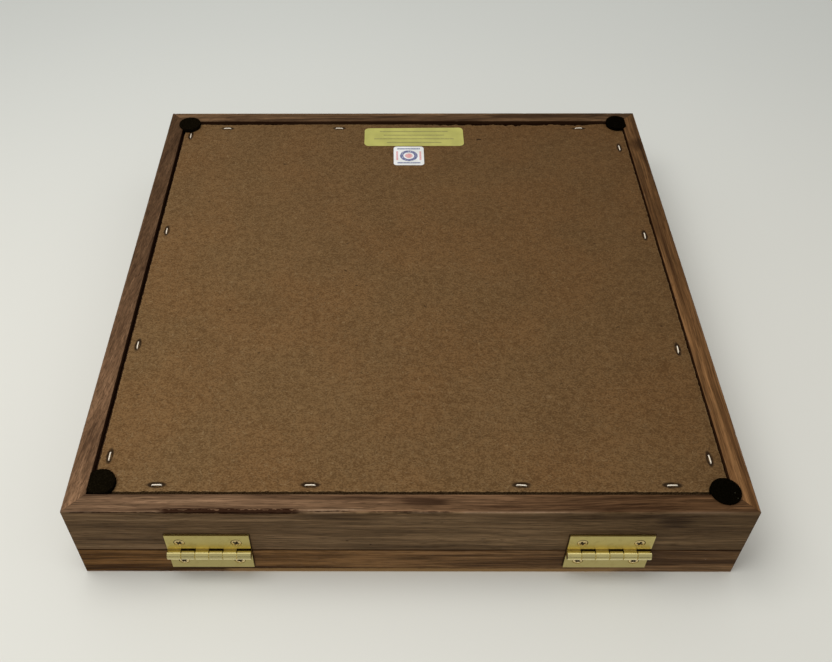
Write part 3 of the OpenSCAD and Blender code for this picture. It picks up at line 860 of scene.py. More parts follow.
def combined(made, tool, operation):
    """Cuts a tool off an object or joins it on, and drops the tool."""
    step = made.modifiers.new("Combine", "BOOLEAN")
    step.operation = operation
    step.solver = "EXACT"
    step.object = tool
    settled(made)
    bpy.data.objects.remove(tool)
    return made


def eased_copy(node_name, name, material, bevel, segments=2, holes=(), added=None):
    """A copy of a node with its flat faces made whole and its edges broken by a small bevel.

    Holes are the places of countersinks, as (x, z, radius, face), whose lower walls are painted dark as
    painted shade.
    Added is a solid that is joined on first.
    """
    bm = bmesh.new()
    bm.from_mesh(frame["nodes"][node_name].data)
    if added:
        plain = combined(from_bmesh(name, bm, None), added, "UNION")
        bm = bmesh.new()
        bm.from_mesh(plain.data)
        bpy.data.objects.remove(plain)
    bmesh.ops.remove_doubles(bm, verts=bm.verts, dist=WELD)
    bmesh.ops.dissolve_limit(bm, angle_limit=math.radians(1), verts=bm.verts, edges=bm.edges)
    sharp = [e for e in bm.edges if e.is_manifold and e.calc_face_angle() > math.radians(30)]
    bmesh.ops.bevel(
        bm, geom=sharp, offset=bevel, segments=segments, profile=0.5, affect="EDGES",
        clamp_overlap=True)
    # The lower walls of the countersinks are painted dark: painted shade
    painted_shade_mask = bm.verts.layers.float.new("painted_shade")
    for vert in bm.verts:
        x, y, z = vert.co / MM
        for hole_x, hole_z, radius, face in holes:
            inside = math.hypot(x - hole_x, z - hole_z) < radius and y < face - 0.12
            if inside and z < hole_z + 0.35 * radius:
                vert[painted_shade_mask] = 1.0
    made = from_bmesh(name, bm, material, smooth=50)
    weigh = made.modifiers.new("Weigh normals", "WEIGHTED_NORMAL")
    weigh.keep_sharp = True
    return attach(settled(made), body_of(node_name), slot_of(node_name), node_name)


def bridge(bm, first, second):
    """Joins two closed rings of points with faces."""
    for i in range(len(first)):
        j = (i + 1) % len(first)
        bm.faces.new((first[i], first[j], second[j], second[i]))


def rolled_bends(leaf_name, radius):
    """The hollow bends where a hinge leaf rises into its own knuckles, as solids."""
    lo, hi = (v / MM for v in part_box(leaf_name))
    barrel = hi.y - CASE_HALF
    axis_y = CASE_HALF + barrel / 2
    downwards = lo.z < HINGE_AXIS_Z - barrel
    face = min(hi.y, CASE_HALF + LEAF_T)
    over = axis_y - face
    reach = math.sqrt((barrel / 2 + radius) ** 2 - (radius - over) ** 2)
    # The bend touches the leaf at its reach and the barrel on the line between the two centres
    turn_end = math.atan2(over - radius, -reach)
    section = [(0.9, -0.3), (reach, -0.3)]
    for i in range(7):
        angle = -math.pi / 2 + (turn_end - (-math.pi / 2) - 2 * math.pi) * i / 6
        section.append((reach + radius * math.cos(angle), radius + radius * math.sin(angle)))
    section.append((1.5, 0.7))
    outer = sorted({round(v.co.x / MM, 2) for v in frame["nodes"][leaf_name].data.vertices
                    if v.co.y / MM > hi.y - 0.2})
    bm = bmesh.new()
    for start, end in zip(outer[::2], outer[1::2]):
        rings = []
        for x in (start + 0.02, end - 0.02):
            rings.append([
                bm.verts.new(Vector((x, face + v, HINGE_AXIS_Z + (-u if downwards else u))) * MM)
                for u, v in section])
        bridge(bm, *rings)
        bm.faces.new(rings[0])
        bm.faces.new(rings[1])
    bmesh.ops.recalc_face_normals(bm, faces=bm.faces)
    return from_bmesh("bends", bm, None)


def ripple(x, seed, period):
    """Smooth noise from -1 to 1 along a length."""
    return noise.noise(Vector((x / period, seed * 7.31, seed * 1.7)))


def smooth_step(value, start, end):
    """0 at start, 1 at end, smooth between them."""
    share = min(1.0, max(0.0, (value - start) / (end - start)))
    return share * share * (3 - 2 * share)


# Rails

def arc(x, y, radius, start, steps=5):
    """Points of a quarter round about (x, y), from an angle in degrees."""
    angles = [math.radians(start + 90 * i / steps) for i in range(steps + 1)]
    return [(x + radius * math.cos(a), y + radius * math.sin(a)) for a in angles]


def close_points(points, arrises, coarse=4.0, fine=0.3, fine_band=2.9):
    """A closed outline with more points, close together near the arrises."""
    found = []
    for start, end in zip(points, points[1:] + points[:1]):
        start, end = Vector(start), Vector(end)
        at = start.copy()
        found.append(start.copy())
        while True:
            near = min((at - Vector(a)).length for a in arrises)
            step = min(coarse, max(fine, near - fine_band))
            if (end - at).length < 1.5 * step:
                break
            at = at + (end - at).normalized() * step
            found.append(at.copy())
    return found


def base_outline(walnut_settings):
    """Section of a base rail: x runs in from the outer face, y up from the underside."""
    r = walnut_settings.arris / MM
    seam = walnut_settings.seam_arris / MM
    ease = 0.25
    return (
        arc(r, r, r, 180)
        + arc(LIP_W - ease, ease, ease, 270, 2)
        + [(LIP_W, REBATE_H), (RAIL_T, REBATE_H)]
        + arc(RAIL_T - ease, BASE_H - ease, ease, 0, 2)
        + arc(seam, BASE_H - seam, seam, 90, 3)
        + [(0.0, BASE_H - seam - 0.2)])


def lid_outline(walnut_settings):
    """Section of a lid rail, with the lip over the glass at its top."""
    r = walnut_settings.arris / MM
    seam = walnut_settings.seam_arris / MM
    bevel = 1.0
    return (
        arc(seam, seam, seam, 180, 3)
        + [(RAIL_T - GLASS_REBATE_W, 0), (RAIL_T - GLASS_REBATE_W, GLASS_TOP), (RAIL_T, GLASS_TOP),
           (RAIL_T, LID_H - bevel), (RAIL_T - bevel, LID_H)]
        + arc(r, LID_H - r, r, 90)
        + [(0.0, seam + 0.2)])


# Where splinters came off the back rail's lower arris: start, end and share of the depth
SPLINTERS = ((-151, -121, 0.35), (-121, -86, 0.6), (-88, -45, 1.0), (-21, 21, 0.55))
# Stretches of the same arris painted pale, as a painted highlight along its edge
EDGE_HIGHLIGHTS = ((-45, -27), (21, 60))
# Little breaks in the right rail's inner edge, along Y
INNER_NICKS = (96, 52, 21, -66)


def stretch(x, start, end, fade=5.0):
    """1 inside a stretch, fading to 0 at its ends."""
    return smooth_step(x, start, start + fade) * (1 - smooth_step(x, end - fade, end))


def rail_damage(part, side, x, at, settings, seed):
    """Push into the rail at a point of its section, how pale it is there from wear and painted
    highlight, and how dark from splits, dirt and painted shade.
    """
    outer = Vector((0.0, 0.0)) if part == "base" else Vector((0.0, LID_H))
    inner = Vector((LIP_W, 0.0)) if part == "base" else Vector((RAIL_T, LID_H))
    push = Vector((0.0, 0.0))
    worn = split = 0.0
    near = (at - outer).length
    if near < 4.0:
        bite = max(0.0, ripple(x, seed, 2.3) + 0.5 * ripple(x, seed + 5, 0.9) - 0.42)
        depth = bite * settings.nick / MM * 3.0 * max(0.0, 1 - near / 1.3)
        inwards = Vector((1.0, -1.0 if outer.y else 1.0)).normalized()
        push += inwards * depth
        rub = max(0.0, 0.35 + ripple(x, seed + 9, 19.0))
        worn = max(0.0, 1 - near / 1.2) * rub
        split = min(0.7, depth * 2.5)
    # Dirt has darkened the seam between base and lid
    beside_seam = at.y > BASE_H - settings.seam_arris / MM - 0.1 if part == "base" else (
        at.y < settings.seam_arris / MM + 0.1)
    if at.x < 0.5 and beside_seam:
        split = 0.65
    # The wall of the recess is painted dark, as painted shade
    if part == "base" and LIP_W - 0.02 < at.x < LIP_W + 0.02 and at.y > 0.2:
        split = max(split, 0.88)
    if part == "base" and side == "back" and near < 6.0 and at.x < 1.2:
        row_x = -x
        for start, end, share in SPLINTERS:
            there = stretch(row_x, start, end) * share
            if not there:
                continue
            line = 0.95 + 0.55 * ripple(x, 31, 13.0) + 0.3 * ripple(x, 32, 4.0)
            half = 0.75 + 0.3 * ripple(x, 33, 7.0)
            inside = max(0.0, 1 - abs(at.y - line) / half)
            hollow = smooth_step(inside, 0.0, 0.6) * there * (0.75 + 0.5 * ripple(x, 34, 3.0))
            push.x += hollow * settings.splinter / MM
            split = max(split, 0.55 * smooth_step(hollow, 0.1, 0.8))
        # Painted highlight along the arris
        for start, end in EDGE_HIGHLIGHTS:
            worn = max(worn, stretch(row_x, start, end) * max(0.0, 1 - near / 1.1))
    if (at - inner).length < 1.0:
        bite = max(0.0, ripple(x, seed + 3, 1.9) + 0.4 * ripple(x, seed + 4, 0.7) - 0.38)
        if part == "base" and side == "right":
            bite += sum(1.2 * max(0.0, 1 - abs(x - y) / 0.9) for y in INNER_NICKS)
        depth = bite * 0.5 * max(0.0, 1 - (at - inner).length / 0.8)
        push += Vector((-1.0, 1.0 if not inner.y else -1.0)).normalized() * depth
        worn = max(worn, min(1.0, depth * 2.0))
    return push, worn, split


def rail(part, side, settings, material, seed):
    """One mitred rail, swept along its side of the case with its nicks and splinters."""
    angle = SIDES[side]
    turn = Matrix.Rotation(math.radians(angle), 3, "Z")
    r = settings.arris / MM
    base_level = BASE_Z if part == "base" else LID_Z
    points = base_outline(settings) if part == "base" else lid_outline(settings)
    outer = (0.0, 0.0) if part == "base" else (0.0, LID_H)
    inner = (LIP_W, 0.0) if part == "base" else (RAIL_T, LID_H)
    outline = close_points(points, [outer, inner])
    half = CASE_HALF
    # Stations lie close together at the rounded corners and a millimetre apart between them
    ends = [0.0, 0.12, 0.3, 0.5, 0.7, 0.9, 1.2, 1.8, 2.6]
    count = round(2 * half - 2 * ends[-1])
    middle = [ends[-1] + i * (2 * half - 2 * ends[-1]) / count for i in range(1, count)]
    stations = ends + middle + [2 * half - d for d in reversed(ends)]
    glue_line = 0.02
    verts, worn_values, split_values = [], [], []
    for distance in stations:
        share = distance / (2 * half)
        for at in outline:
            x = (-half + at.x + glue_line) + share * 2 * (half - at.x - glue_line)
            push, worn, split = rail_damage(part, side, x, at, settings, seed)
            place = at + push
            v = Vector((x, -half + place.x, base_level + place.y))
            corner = half - r
            away = Vector((abs(x) - corner, -v.y - corner))
            if away.x > 0 and away.y > 0 and away.length > r:
                away *= r / away.length
                v.x = math.copysign(corner + away.x, x)
                v.y = -(corner + away.y)
            mitre = min(distance, 2 * half - distance)
            split = max(split, 0.30 * (1 - smooth_step(mitre, 0.02, 0.25)))
            verts.append(turn @ v * MM)
            worn_values.append(worn)
            split_values.append(split)
    ring = len(outline)
    faces = []
    for i in range(len(stations) - 1):
        for j in range(ring):
            k = (j + 1) % ring
            faces.append((i * ring + j, i * ring + k, (i + 1) * ring + k, (i + 1) * ring + j))
    last = (len(stations) - 1) * ring
    faces.append(tuple(reversed(range(ring))))
    faces.append(tuple(last + j for j in range(ring)))
    name = f"walnut_{part}_{side}"
    mesh = bpy.data.meshes.new(name)
    mesh.from_pydata(verts, [], faces)
    for label, values in (("worn", worn_values), ("split", split_values)):
        layer = mesh.attributes.new(label, "FLOAT", "POINT")
        layer.data.foreach_set("value", values)
    bm = bmesh.new()
    bm.from_mesh(mesh)
    bmesh.ops.recalc_face_normals(bm, faces=bm.faces)
    bm.to_mesh(mesh)
    bm.free()
    made = from_mesh(name, mesh, material, smooth=45)
    return attach(made, part, "walnut", f"{part}_rail_{side}")


# Bottom panel

def staple_places():
    """Middle of each staple's crown and its turn about Z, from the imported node."""
    places = []
    for lo, hi in solids_of("bottom_staples"):
        middle, size = (lo + hi) / 2, hi - lo
        places.append((middle.x, middle.y, 0.0 if size.x > size.y else 90.0))
    return places


# Stretches of the front edge that are torn, as start, end and share of the full depth
TORN = ((-131, -68, 0.55), (10, 128, 1.0))
# Tongues of board left standing in the tear
TONGUES = ((21, 3.0), (35, 2.6), (42.5, 1.6), (96, 2.0), (-101, 3.0))


def tear_depth(x, settings):
    """How far the front edge is torn back at this x."""
    wide = 0.75 + 0.5 * ripple(x, 3, 21.0)
    deep = 0.22 + 0.78 * max(stretch(x, start, end, 18.0) * share for start, end, share in TORN)
    left = min(1 - 0.85 * max(0.0, 1 - abs(x - at) / half) for at, half in TONGUES)
    jagged = 0.55 + 0.5 * ripple(x, 4, 4.0) + 0.4 * ripple(x, 5, 1.5) + 0.25 * ripple(x, 6, 0.7)
    return max(0.0, deep * wide * left * jagged) * 1.5 * settings.tear / MM


def panel_damage(p, lo, hi, places, settings):
    """Where a point of the panel's face goes, and how torn and how pressed it is there."""
    # Tears pull in this wide a band at the edges, and a staple's dent ends at this distance
    reach, dent_end = 6.0, 7.0
    front, back, left, right = p.y - lo.y, hi.y - p.y, p.x - lo.x, hi.x - p.x
    shift = Vector((0.0, 0.0, 0.0))
    if front < reach:
        shift.y += tear_depth(p.x, settings) * (1 - front / reach)
    bites = [max(0.0, 0.30 * (0.6 + ripple(at, seed, 2.4) + ripple(at, seed + 1, 0.8)))
             for at, seed in ((p.x, 11), (p.y, 13), (p.y, 15))]
    shift.y -= bites[0] * max(0.0, 1 - back / reach)
    shift.x += bites[1] * max(0.0, 1 - left / reach)
    shift.x -= (bites[2] + 0.15) * max(0.0, 1 - right / reach)
    edge = min(front, back, left, right)
    fray = max(0.0, 1 - edge / 0.9)
    ragged = stretch(p.x, 0, 90, 20) if front == edge else 0.25
    pitted = 0.30 + 0.35 * noise.noise(Vector((p.x * 0.9, p.y * 0.9, 2.0)))
    sink = fray * (0.25 + 0.75 * ragged) * pitted
    dark = 0.0
    for x, y, turn in places:
        away = Vector((p.x - x, p.y - y))
        if away.length > dent_end:
            continue
        a, b = (away.x, away.y) if turn == 0 else (away.y, away.x)
        oval = math.sqrt((a / 3.6) ** 2 + (b / 1.35) ** 2)
        sink += settings.dent / MM * (1 - smooth_step(oval, 0.50, 1.10))
        rim = smooth_step(oval, 0.30, 0.75) * (1 - smooth_step(oval, 0.95, 1.45))
        dark = max(dark, rim * (1.15 + 0.9 * ripple(math.atan2(b, a) * 2, x + y, 1.0)))
    shift.z = max(0.0, sink)
    return p + shift, fray * (0.35 + 0.65 * ragged), min(1.0, max(0.0, dark))


def panel(settings, material):
    """The hardboard, with its front edge torn and the staples driven into it."""
    lo, hi = (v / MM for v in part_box("bottom_panel"))
    # Cells of the grid, and the radius of the finer patch at a staple
    cell, patch = 4.0, 4.6
    counts = [round((hi[i] - lo[i]) / cell) for i in range(2)]
    size = (hi - lo) / 2
    bm = bmesh.new()
    bmesh.ops.create_grid(bm, x_segments=counts[0], y_segments=counts[1], size=1.0)
    for vert in bm.verts:
        vert.co = Vector((
            lo.x + (vert.co.x + 1) * size.x, lo.y + (vert.co.y + 1) * size.y, PANEL_Z))
    places = staple_places()

    def finer(test, cuts):
        bm.edges.index_update()
        edges = {e for f in bm.faces if test(f.calc_center_median()) for e in f.edges}
        edges = sorted(edges, key=lambda e: e.index)
        bmesh.ops.subdivide_edges(bm, edges=edges, cuts=cuts, use_grid_fill=True)

    def from_edge(p):
        return min(p.x - lo.x, hi.x - p.x, p.y - lo.y, hi.y - p.y)

    finer(lambda p: from_edge(p) < 2 * cell, 4)
    finer(lambda p: min(math.hypot(p.x - s[0], p.y - s[1]) for s in places) < patch, 1)
    torn, pressed = {}, {}
    for vert in bm.verts:
        vert.co, torn[vert], pressed[vert] = panel_damage(vert.co, lo, hi, places, settings)
    # Walls of the board, then its upper face
    rim = [e for e in bm.edges if e.is_boundary]
    made = bmesh.ops.extrude_edge_only(bm, edges=rim)["geom"]
    upper = [v for v in made if isinstance(v, bmesh.types.BMVert)]
    for vert in upper:
        vert.co.z = hi.z
        torn[vert], pressed[vert] = 1.0, 0.0
    bmesh.ops.contextual_create(bm, geom=[e for e in made if isinstance(e, bmesh.types.BMEdge)])
    bmesh.ops.recalc_face_normals(bm, faces=bm.faces)
    bm.verts.index_update()
    values = [(torn[v], pressed[v]) for v in bm.verts]
    for vert in bm.verts:
        vert.co *= MM
    made = from_bmesh("torn_hardboard_panel", bm, material, smooth=60)
    for i, label in enumerate(("torn", "pressed")):
        layer = made.data.attributes.new(label, "FLOAT", "POINT")
        layer.data.foreach_set("value", [v[i] for v in values])
    return attach(made, "base", "hardboard", "bottom_panel")


# Repeated pieces, set on marks by node trees

def socket(tree, name, kind, default=None):
    made = tree.interface.new_socket(name, in_out="INPUT", socket_type="NodeSocket" + kind)
    if default is not None:
        made.default_value = default
    return made


def give(modifier, tree, **values):
    """Sets the inputs of a modifier's node tree by their sockets' identifiers."""
    for name, value in values.items():
        modifier[tree.interface.items_tree[name.replace("_", " ")].identifier] = value


def marks_tree():
    """Sets a copy of the source on every mark, turned as the mark says and a little askew."""
    tree = bpy.data.node_groups.new("Pieces on marks", "GeometryNodeTree")
    socket(tree, "Marks", "Geometry")
    socket(tree, "Source", "Object")
    socket(tree, "Askew", "Vector", (0.0, 0.0, 0.0))
    socket(tree, "Seed", "Int", 1)
    socket(tree, "Finish", "Material")
    tree.interface.new_socket("Pieces", in_out="OUTPUT", socket_type="NodeSocketGeometry")
    given = node(tree, "NodeGroupInput")
    source = node(tree, "GeometryNodeObjectInfo", {"Object": given["Source"], "As Instance": True})
    turn = node(tree, "GeometryNodeInputNamedAttribute", {"Name": "turn"}, data_type="FLOAT_VECTOR")
    lowest = vectors("MULTIPLY", given["Askew"], (-1, -1, -1))
    chance = node(tree, "FunctionNodeRandomValue", {
        0: lowest, 1: given["Askew"], "Seed": given["Seed"]}, data_type="FLOAT_VECTOR")[0]
    both = vectors("ADD", turn[0], chance)
    rotation = node(tree, "FunctionNodeEulerToRotation", {0: both})[0]
    placed = node(tree, "GeometryNodeInstanceOnPoints", {
        "Points": given["Marks"], "Instance": source["Geometry"], "Rotation": rotation})
    real = node(tree, "GeometryNodeRealizeInstances", {0: placed[0]})
    finish = node(tree, "GeometryNodeSetMaterial", {"Geometry": real[0], "Material": given["Finish"]})
    node(tree, "NodeGroupOutput", {0: finish[0]})
    return tree


def fuzz_tree():
    """Covers a mesh with short leaning fibres."""
    tree = bpy.data.node_groups.new("Loose fibres", "GeometryNodeTree")
    socket(tree, "Cloth", "Geometry")
    socket(tree, "Density", "Float", 1e6)
    socket(tree, "Length", "Float", 0.0005)
    socket(tree, "Thickness", "Float", 0.00003)
    socket(tree, "Seed", "Int", 1)
    socket(tree, "Finish", "Material")
    tree.interface.new_socket("Fuzzy", in_out="OUTPUT", socket_type="NodeSocketGeometry")
    given = node(tree, "NodeGroupInput")
    points = node(tree, "GeometryNodeDistributePointsOnFaces", {
        "Mesh": given["Cloth"], "Density": given["Density"], "Seed": given["Seed"]})
    fibre = node(tree, "GeometryNodeMeshCone", {
        "Vertices": 3, "Radius Top": 0.0, "Radius Bottom": given["Thickness"],
        "Depth": given["Length"]},
        fill_type="NONE")
    lean = node(tree, "FunctionNodeRandomValue", {
        0: (-1.2, -1.2, -3.1), 1: (1.2, 1.2, 3.1), "Seed": given["Seed"]},
        data_type="FLOAT_VECTOR")[0]
    leaning = node(tree, "FunctionNodeEulerToRotation", {0: lean})[0]
    rotation = node(tree, "FunctionNodeRotateRotation", {
        "Rotation": points["Rotation"], "Rotate By": leaning}, rotation_space="LOCAL")[0]
    placed = node(tree, "GeometryNodeInstanceOnPoints", {
        "Points": points["Points"], "Instance": fibre["Mesh"], "Rotation": rotation})
    real = node(tree, "GeometryNodeRealizeInstances", {0: placed[0]})
    joined = node(tree, "GeometryNodeJoinGeometry")
    feed(joined.made, {0: real[0]})
    feed(joined.made, {0: given["Cloth"]})
    finish = node(tree, "GeometryNodeSetMaterial", {"Geometry": joined[0], "Material": given["Finish"]})
    node(tree, "NodeGroupOutput", {0: finish[0]})
    return tree


def on_marks(name, marks, source, material, askew, seed):
    """Copies of a source object on marks of (place in millimetres, turn in degrees)."""
    mesh = bpy.data.meshes.new(name)
    mesh.from_pydata([Vector(place) * MM for place, _ in marks], [], [])
    turns = mesh.attributes.new("turn", "FLOAT_VECTOR", "POINT")
    turns.data.foreach_set("vector", [math.radians(angle) for _, turn in marks for angle in turn])
    made = linked(name, mesh)
    tree = marks_tree()
    modifier = made.modifiers.new("Pieces on marks", "NODES")
    modifier.node_group = tree
    askew = [math.radians(angle) for angle in askew]
    give(modifier, tree, Source=source, Askew=askew, Seed=seed, Finish=material)
    settled(made)
    made.data.shade_smooth()
    made.data.set_sharp_from_angle(angle=math.radians(35))
    bpy.data.objects.remove(source)
    return made


def bent_wire():
    """A staple with its crown along X at z = 0 and its legs up, as seen turned over."""
    lo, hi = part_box("bottom_staples")
    leg = (hi.z - lo.z) / MM - STAPLE_WIRE / 2
    box_lo, box_hi = solids_of("bottom_staples")[0]
    half = max(box_hi.x - box_lo.x, box_hi.y - box_lo.y) / 2 - STAPLE_WIRE / 2
    bend = 0.45
    path = [(-half, leg)]
    path += [(-half + bend - bend * math.cos(a), bend - bend * math.sin(a))
             for a in (0, math.pi / 6, math.pi / 3, math.pi / 2)]
    path += [(-half + bend + (2 * half - 2 * bend) * i / 6, -0.05 * math.sin(math.pi * i / 6))
             for i in range(1, 6)]
    path += [(half - bend + bend * math.sin(a), bend - bend * math.cos(a))
             for a in (0, math.pi / 6, math.pi / 3, math.pi / 2)]
    path += [(half, leg)]
    curve = bpy.data.curves.new("wire", "CURVE")
    curve.dimensions = "3D"
    spline = curve.splines.new("POLY")
    spline.points.add(len(path) - 1)
    for point, (x, z) in zip(spline.points, path):
        point.co = (x * MM, 0, z * MM, 1)
    curve.bevel_depth = STAPLE_WIRE / 2 * MM * 0.92
    curve.bevel_resolution = 3
    curve.use_fill_caps = True
    made = linked("bent_wire", curve)
    bpy.context.view_layer.update()
    mesh = bpy.data.meshes.new_from_object(made.evaluated_get(bpy.context.evaluated_depsgraph_get()))
    bpy.data.objects.remove(made)
    return linked("bent_wire_source", mesh)


def cross_head_screw(head_d, shank_d, length_mm):
    """A countersunk screw with a cross recess, along -Z with the top of its head at z = 0."""
    head_r, shank_r = head_d / 2, shank_d / 2
    dome = 0.2
    section = [(0.001, dome), (head_r * 0.45, dome * 0.86), (head_r * 0.75, dome * 0.5),
               (head_r * 0.93, 0.04), (head_r, -0.1), (head_r, -0.2),
               (shank_r, -(head_r - shank_r) - 0.2)]
    threads = 8
    pitch = (length_mm - 3.2) / threads
    for i in range(threads):
        z = -(head_r - shank_r) - 0.6 - i * pitch
        section += [(shank_r * 0.80, z), (shank_r, z - pitch * 0.35), (shank_r * 0.80, z - pitch * 0.7)]
    section.append((0.001, -length_mm))
    bm = bmesh.new()
    verts = [bm.verts.new((r * MM, 0, z * MM)) for r, z in section]
    edges = [bm.edges.new(pair) for pair in zip(verts, verts[1:])]
    bmesh.ops.spin(
        bm, geom=verts + edges, cent=(0, 0, 0), axis=(0, 0, 1), angle=2 * math.pi, steps=32)
    bmesh.ops.remove_doubles(bm, verts=bm.verts, dist=0.004 * MM)
    bmesh.ops.recalc_face_normals(bm, faces=bm.faces)
    screw = from_bmesh("screw_body", bm, None)
    # The recess is two crossed wedges that narrow downwards
    arm, width, depth, over = head_r * 0.70, head_d * 0.125, 1.2, 0.6
    for angle in (0, 90):
        cutter = bmesh.new()
        turn = Matrix.Rotation(math.radians(angle), 4, "Z")
        corners = []
        for z, s in ((over, 1.15), (-depth, 0.35)):
            for sx, sy in ((-1, -1), (1, -1), (1, 1), (-1, 1)):
                corners.append(cutter.verts.new(turn @ Vector((sx * arm * s, sy * width * s, z)) * MM))
        for f in ((3, 2, 1, 0), (4, 5, 6, 7), (0, 1, 5, 4), (1, 2, 6, 5), (2, 3, 7, 6), (3, 0, 4, 7)):
            cutter.faces.new([corners[i] for i in f])
        bmesh.ops.recalc_face_normals(cutter, faces=cutter.faces)
        combined(screw, from_bmesh("recess", cutter, None), "DIFFERENCE")
    # The recess is painted dark, as painted shade
    painted_shade_mask = []
    for face in screw.data.polygons:
        inside = face.center.xy.length < arm * 1.1 * MM and -1.4 < face.center.z / MM < 0.16
        painted_shade_mask.append(1.0 if inside and face.normal.z < 0.8 else 0.0)
    screw.data.attributes.new("painted_shade", "FLOAT", "FACE").data.foreach_set("value", painted_shade_mask)
    return screw


# Flat pieces of paper

def rounded_ring(half_x, half_y, radius, steps=8):
    """Points round a rectangle with round corners."""
    points = []
    corners = ((1, 1, 0), (-1, 1, 90), (-1, -1, 180), (1, -1, 270))
    for sx, sy, start in corners:
        for i in range(steps + 1):
            a = math.radians(start + 90 * i / steps)
            points.append((
                sx * (half_x - radius) + radius * math.cos(a),
                sy * (half_y - radius) + radius * math.sin(a)))
    return points


def label(name, centre, half_x, half_y, radius, thickness, material, lift):
    """A paper label stuck to the panel's face. Lift gives how far a point stands off the panel."""
    bm = bmesh.new()
    rings = []
    least = min(half_x, half_y)
    insets = [0.0, 0.3, 1.0, 2.2, 3.8, 5.8, 8.0]
    for inset in [i for i in insets if i < least - 1]:
        rings.append(rounded_ring(half_x - inset, half_y - inset, max(0.4, radius - inset)))
    top = []
    for points in rings:
        top.append([bm.verts.new((centre[0] + x, centre[1] + y, PANEL_Z)) for x, y in points])
    for outer, inner in zip(top, top[1:]):
        bridge(bm, outer, inner)
    bm.faces.new(top[-1])
    for vert in bm.verts:
        off = lift(vert.co.x - centre[0], vert.co.y - centre[1])
        vert.co.z = PANEL_Z - thickness / MM - off
    shell = bmesh.ops.extrude_face_region(bm, geom=list(bm.faces))["geom"]
    for vert in [v for v in shell if isinstance(v, bmesh.types.BMVert)]:
        vert.co.z += thickness / MM * 0.8
    for vert in bm.verts:
        vert.co *= MM
    bmesh.ops.recalc_face_normals(bm, faces=bm.faces)
    made = from_bmesh(name, bm, material, smooth=30)
    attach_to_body(made, "base")
    return made


def paper_material(name, ground, prints, centre, gloss):
    """Coated paper with plain printed bars, rings and discs."""
    material, tree, principled = shader(name)
    place = object_mm(tree, 0.0, (centre[0], centre[1], 0.0))
    cloud = even_noise(place, 0.12, 3.0)[0]
    dull = opaque(a * b for a, b in zip(ground, (0.84, 0.84, 0.80)))
    paper = mixed(spread(cloud, 0.35, 0.70), opaque(ground), dull)
    flat = vectors("MULTIPLY", place, (1, 1, 0))
    for kind, at, size, ink, depth in prints:
        if kind == "bar":
            mask = effect("bar", Vector=flat, Centre=(*at, 0), Half_size=(*size, 1))["Mask"]
        else:
            away = vectors("SUBTRACT", flat, (*at, 0))
            radius = length_of(away)
            off = maths("ABSOLUTE", radius - size[0])
            mask = spread(size[1] - off, -0.08, 0.08)
        worn = spread(even_noise(place, 2.5, 2.0)[0], 0.25, 0.5)
        mask = mask * worn * depth
        paper = mixed(mask, paper, opaque(ink))
    fibre = even_noise(place, 3.0, 2.0)[0]
    connect(principled, Base_Color=paper, Roughness=gloss, Normal=bump(fibre, 0.015))
    return material


# Felt pads

def pad(corner, settings, material):
    """A felt pad: the node's shape softened, matted and covered with loose fibres."""
    name = f"pad_{corner}"
    bm = bmesh.new()
    bm.from_mesh(frame["nodes"][name].data)
    bmesh.ops.remove_doubles(bm, verts=bm.verts, dist=WELD)
    made = from_bmesh(f"felt_{name}", bm, material)
    remesh = made.modifiers.new("Felt", "REMESH")
    remesh.mode = "VOXEL"
    remesh.voxel_size = 0.32 * MM
    smooth = made.modifiers.new("Soften", "SMOOTH")
    smooth.factor = 0.5
    smooth.iterations = 3
    settled(made)
    seed = sum(ord(c) for c in corner)
    floor = 0.05 * MM
    for vert in made.data.vertices:
        p = vert.co / MM
        lumps = noise.noise(Vector((p.x * 0.8, p.y * 0.8, seed))) * 0.10
        grain = noise.noise(Vector((p.x * 3.1, p.y * 3.1, p.z * 3.1 + seed))) * 0.05
        if vert.normal.z < -0.4:
            vert.co.z = max(floor, vert.co.z + (0.08 + lumps + grain) * MM)
        else:
            vert.co -= vert.normal * max(0.0, grain) * MM
    tree = fuzz_tree()
    modifier = made.modifiers.new("Loose fibres", "NODES")
    modifier.node_group = tree
    give(modifier, tree, Density=settings.density / MM / MM, Length=settings.fibre,
         Thickness=0.025 * MM, Seed=settings.seed + seed, Finish=material)
    settled(made)
    made.data.shade_smooth()
    return attach(made, "base", "felt", name)


# Stage

def table(name, z, facing, settings):
    """A pale table seen only from its own side, fading out before its edge."""
    bm = bmesh.new()
    reach, fade_start, fade_end = 2.6, 620.0, 1500.0
    corners = [(-reach, -reach), (reach, -reach), (reach, reach), (-reach, reach)]
    if facing < 0:
        corners.reverse()
    bm.faces.new([bm.verts.new((x, y, z)) for x, y in corners])
    material, tree, principled = shader(name)
    place = object_mm(tree)
    # The far side of the table is painted a little darker, as painted falloff of the light
    parts = axes(place)
    base = opaque(settings.floor)
    far = mixed(spread(parts["Y"], 60.0, -420.0), base, (0.70, 0.72, 0.695, 1))
    cloud = even_noise(place, 0.004, 2.0)[0]
    shade = mixed(cloud * 0.06, far, (0.4, 0.4, 0.38, 1))
    connect(principled, Base_Color=shade, Roughness=0.9, Specular_IOR_Level=0.0)
    fade = spread(length_of(place), fade_start, fade_end)
    behind = node(tree, "ShaderNodeNewGeometry")["Backfacing"]
    hidden = maths("MAXIMUM", fade, behind)
    clear = node(tree, "ShaderNodeBsdfTransparent")[0]
    surfaced(tree, hidden, principled[0], clear)
    made = from_bmesh(name, bm, material)
    for ray in ("diffuse", "glossy", "transmission", "shadow"):
        setattr(made, f"visible_{ray}", False)
    return made


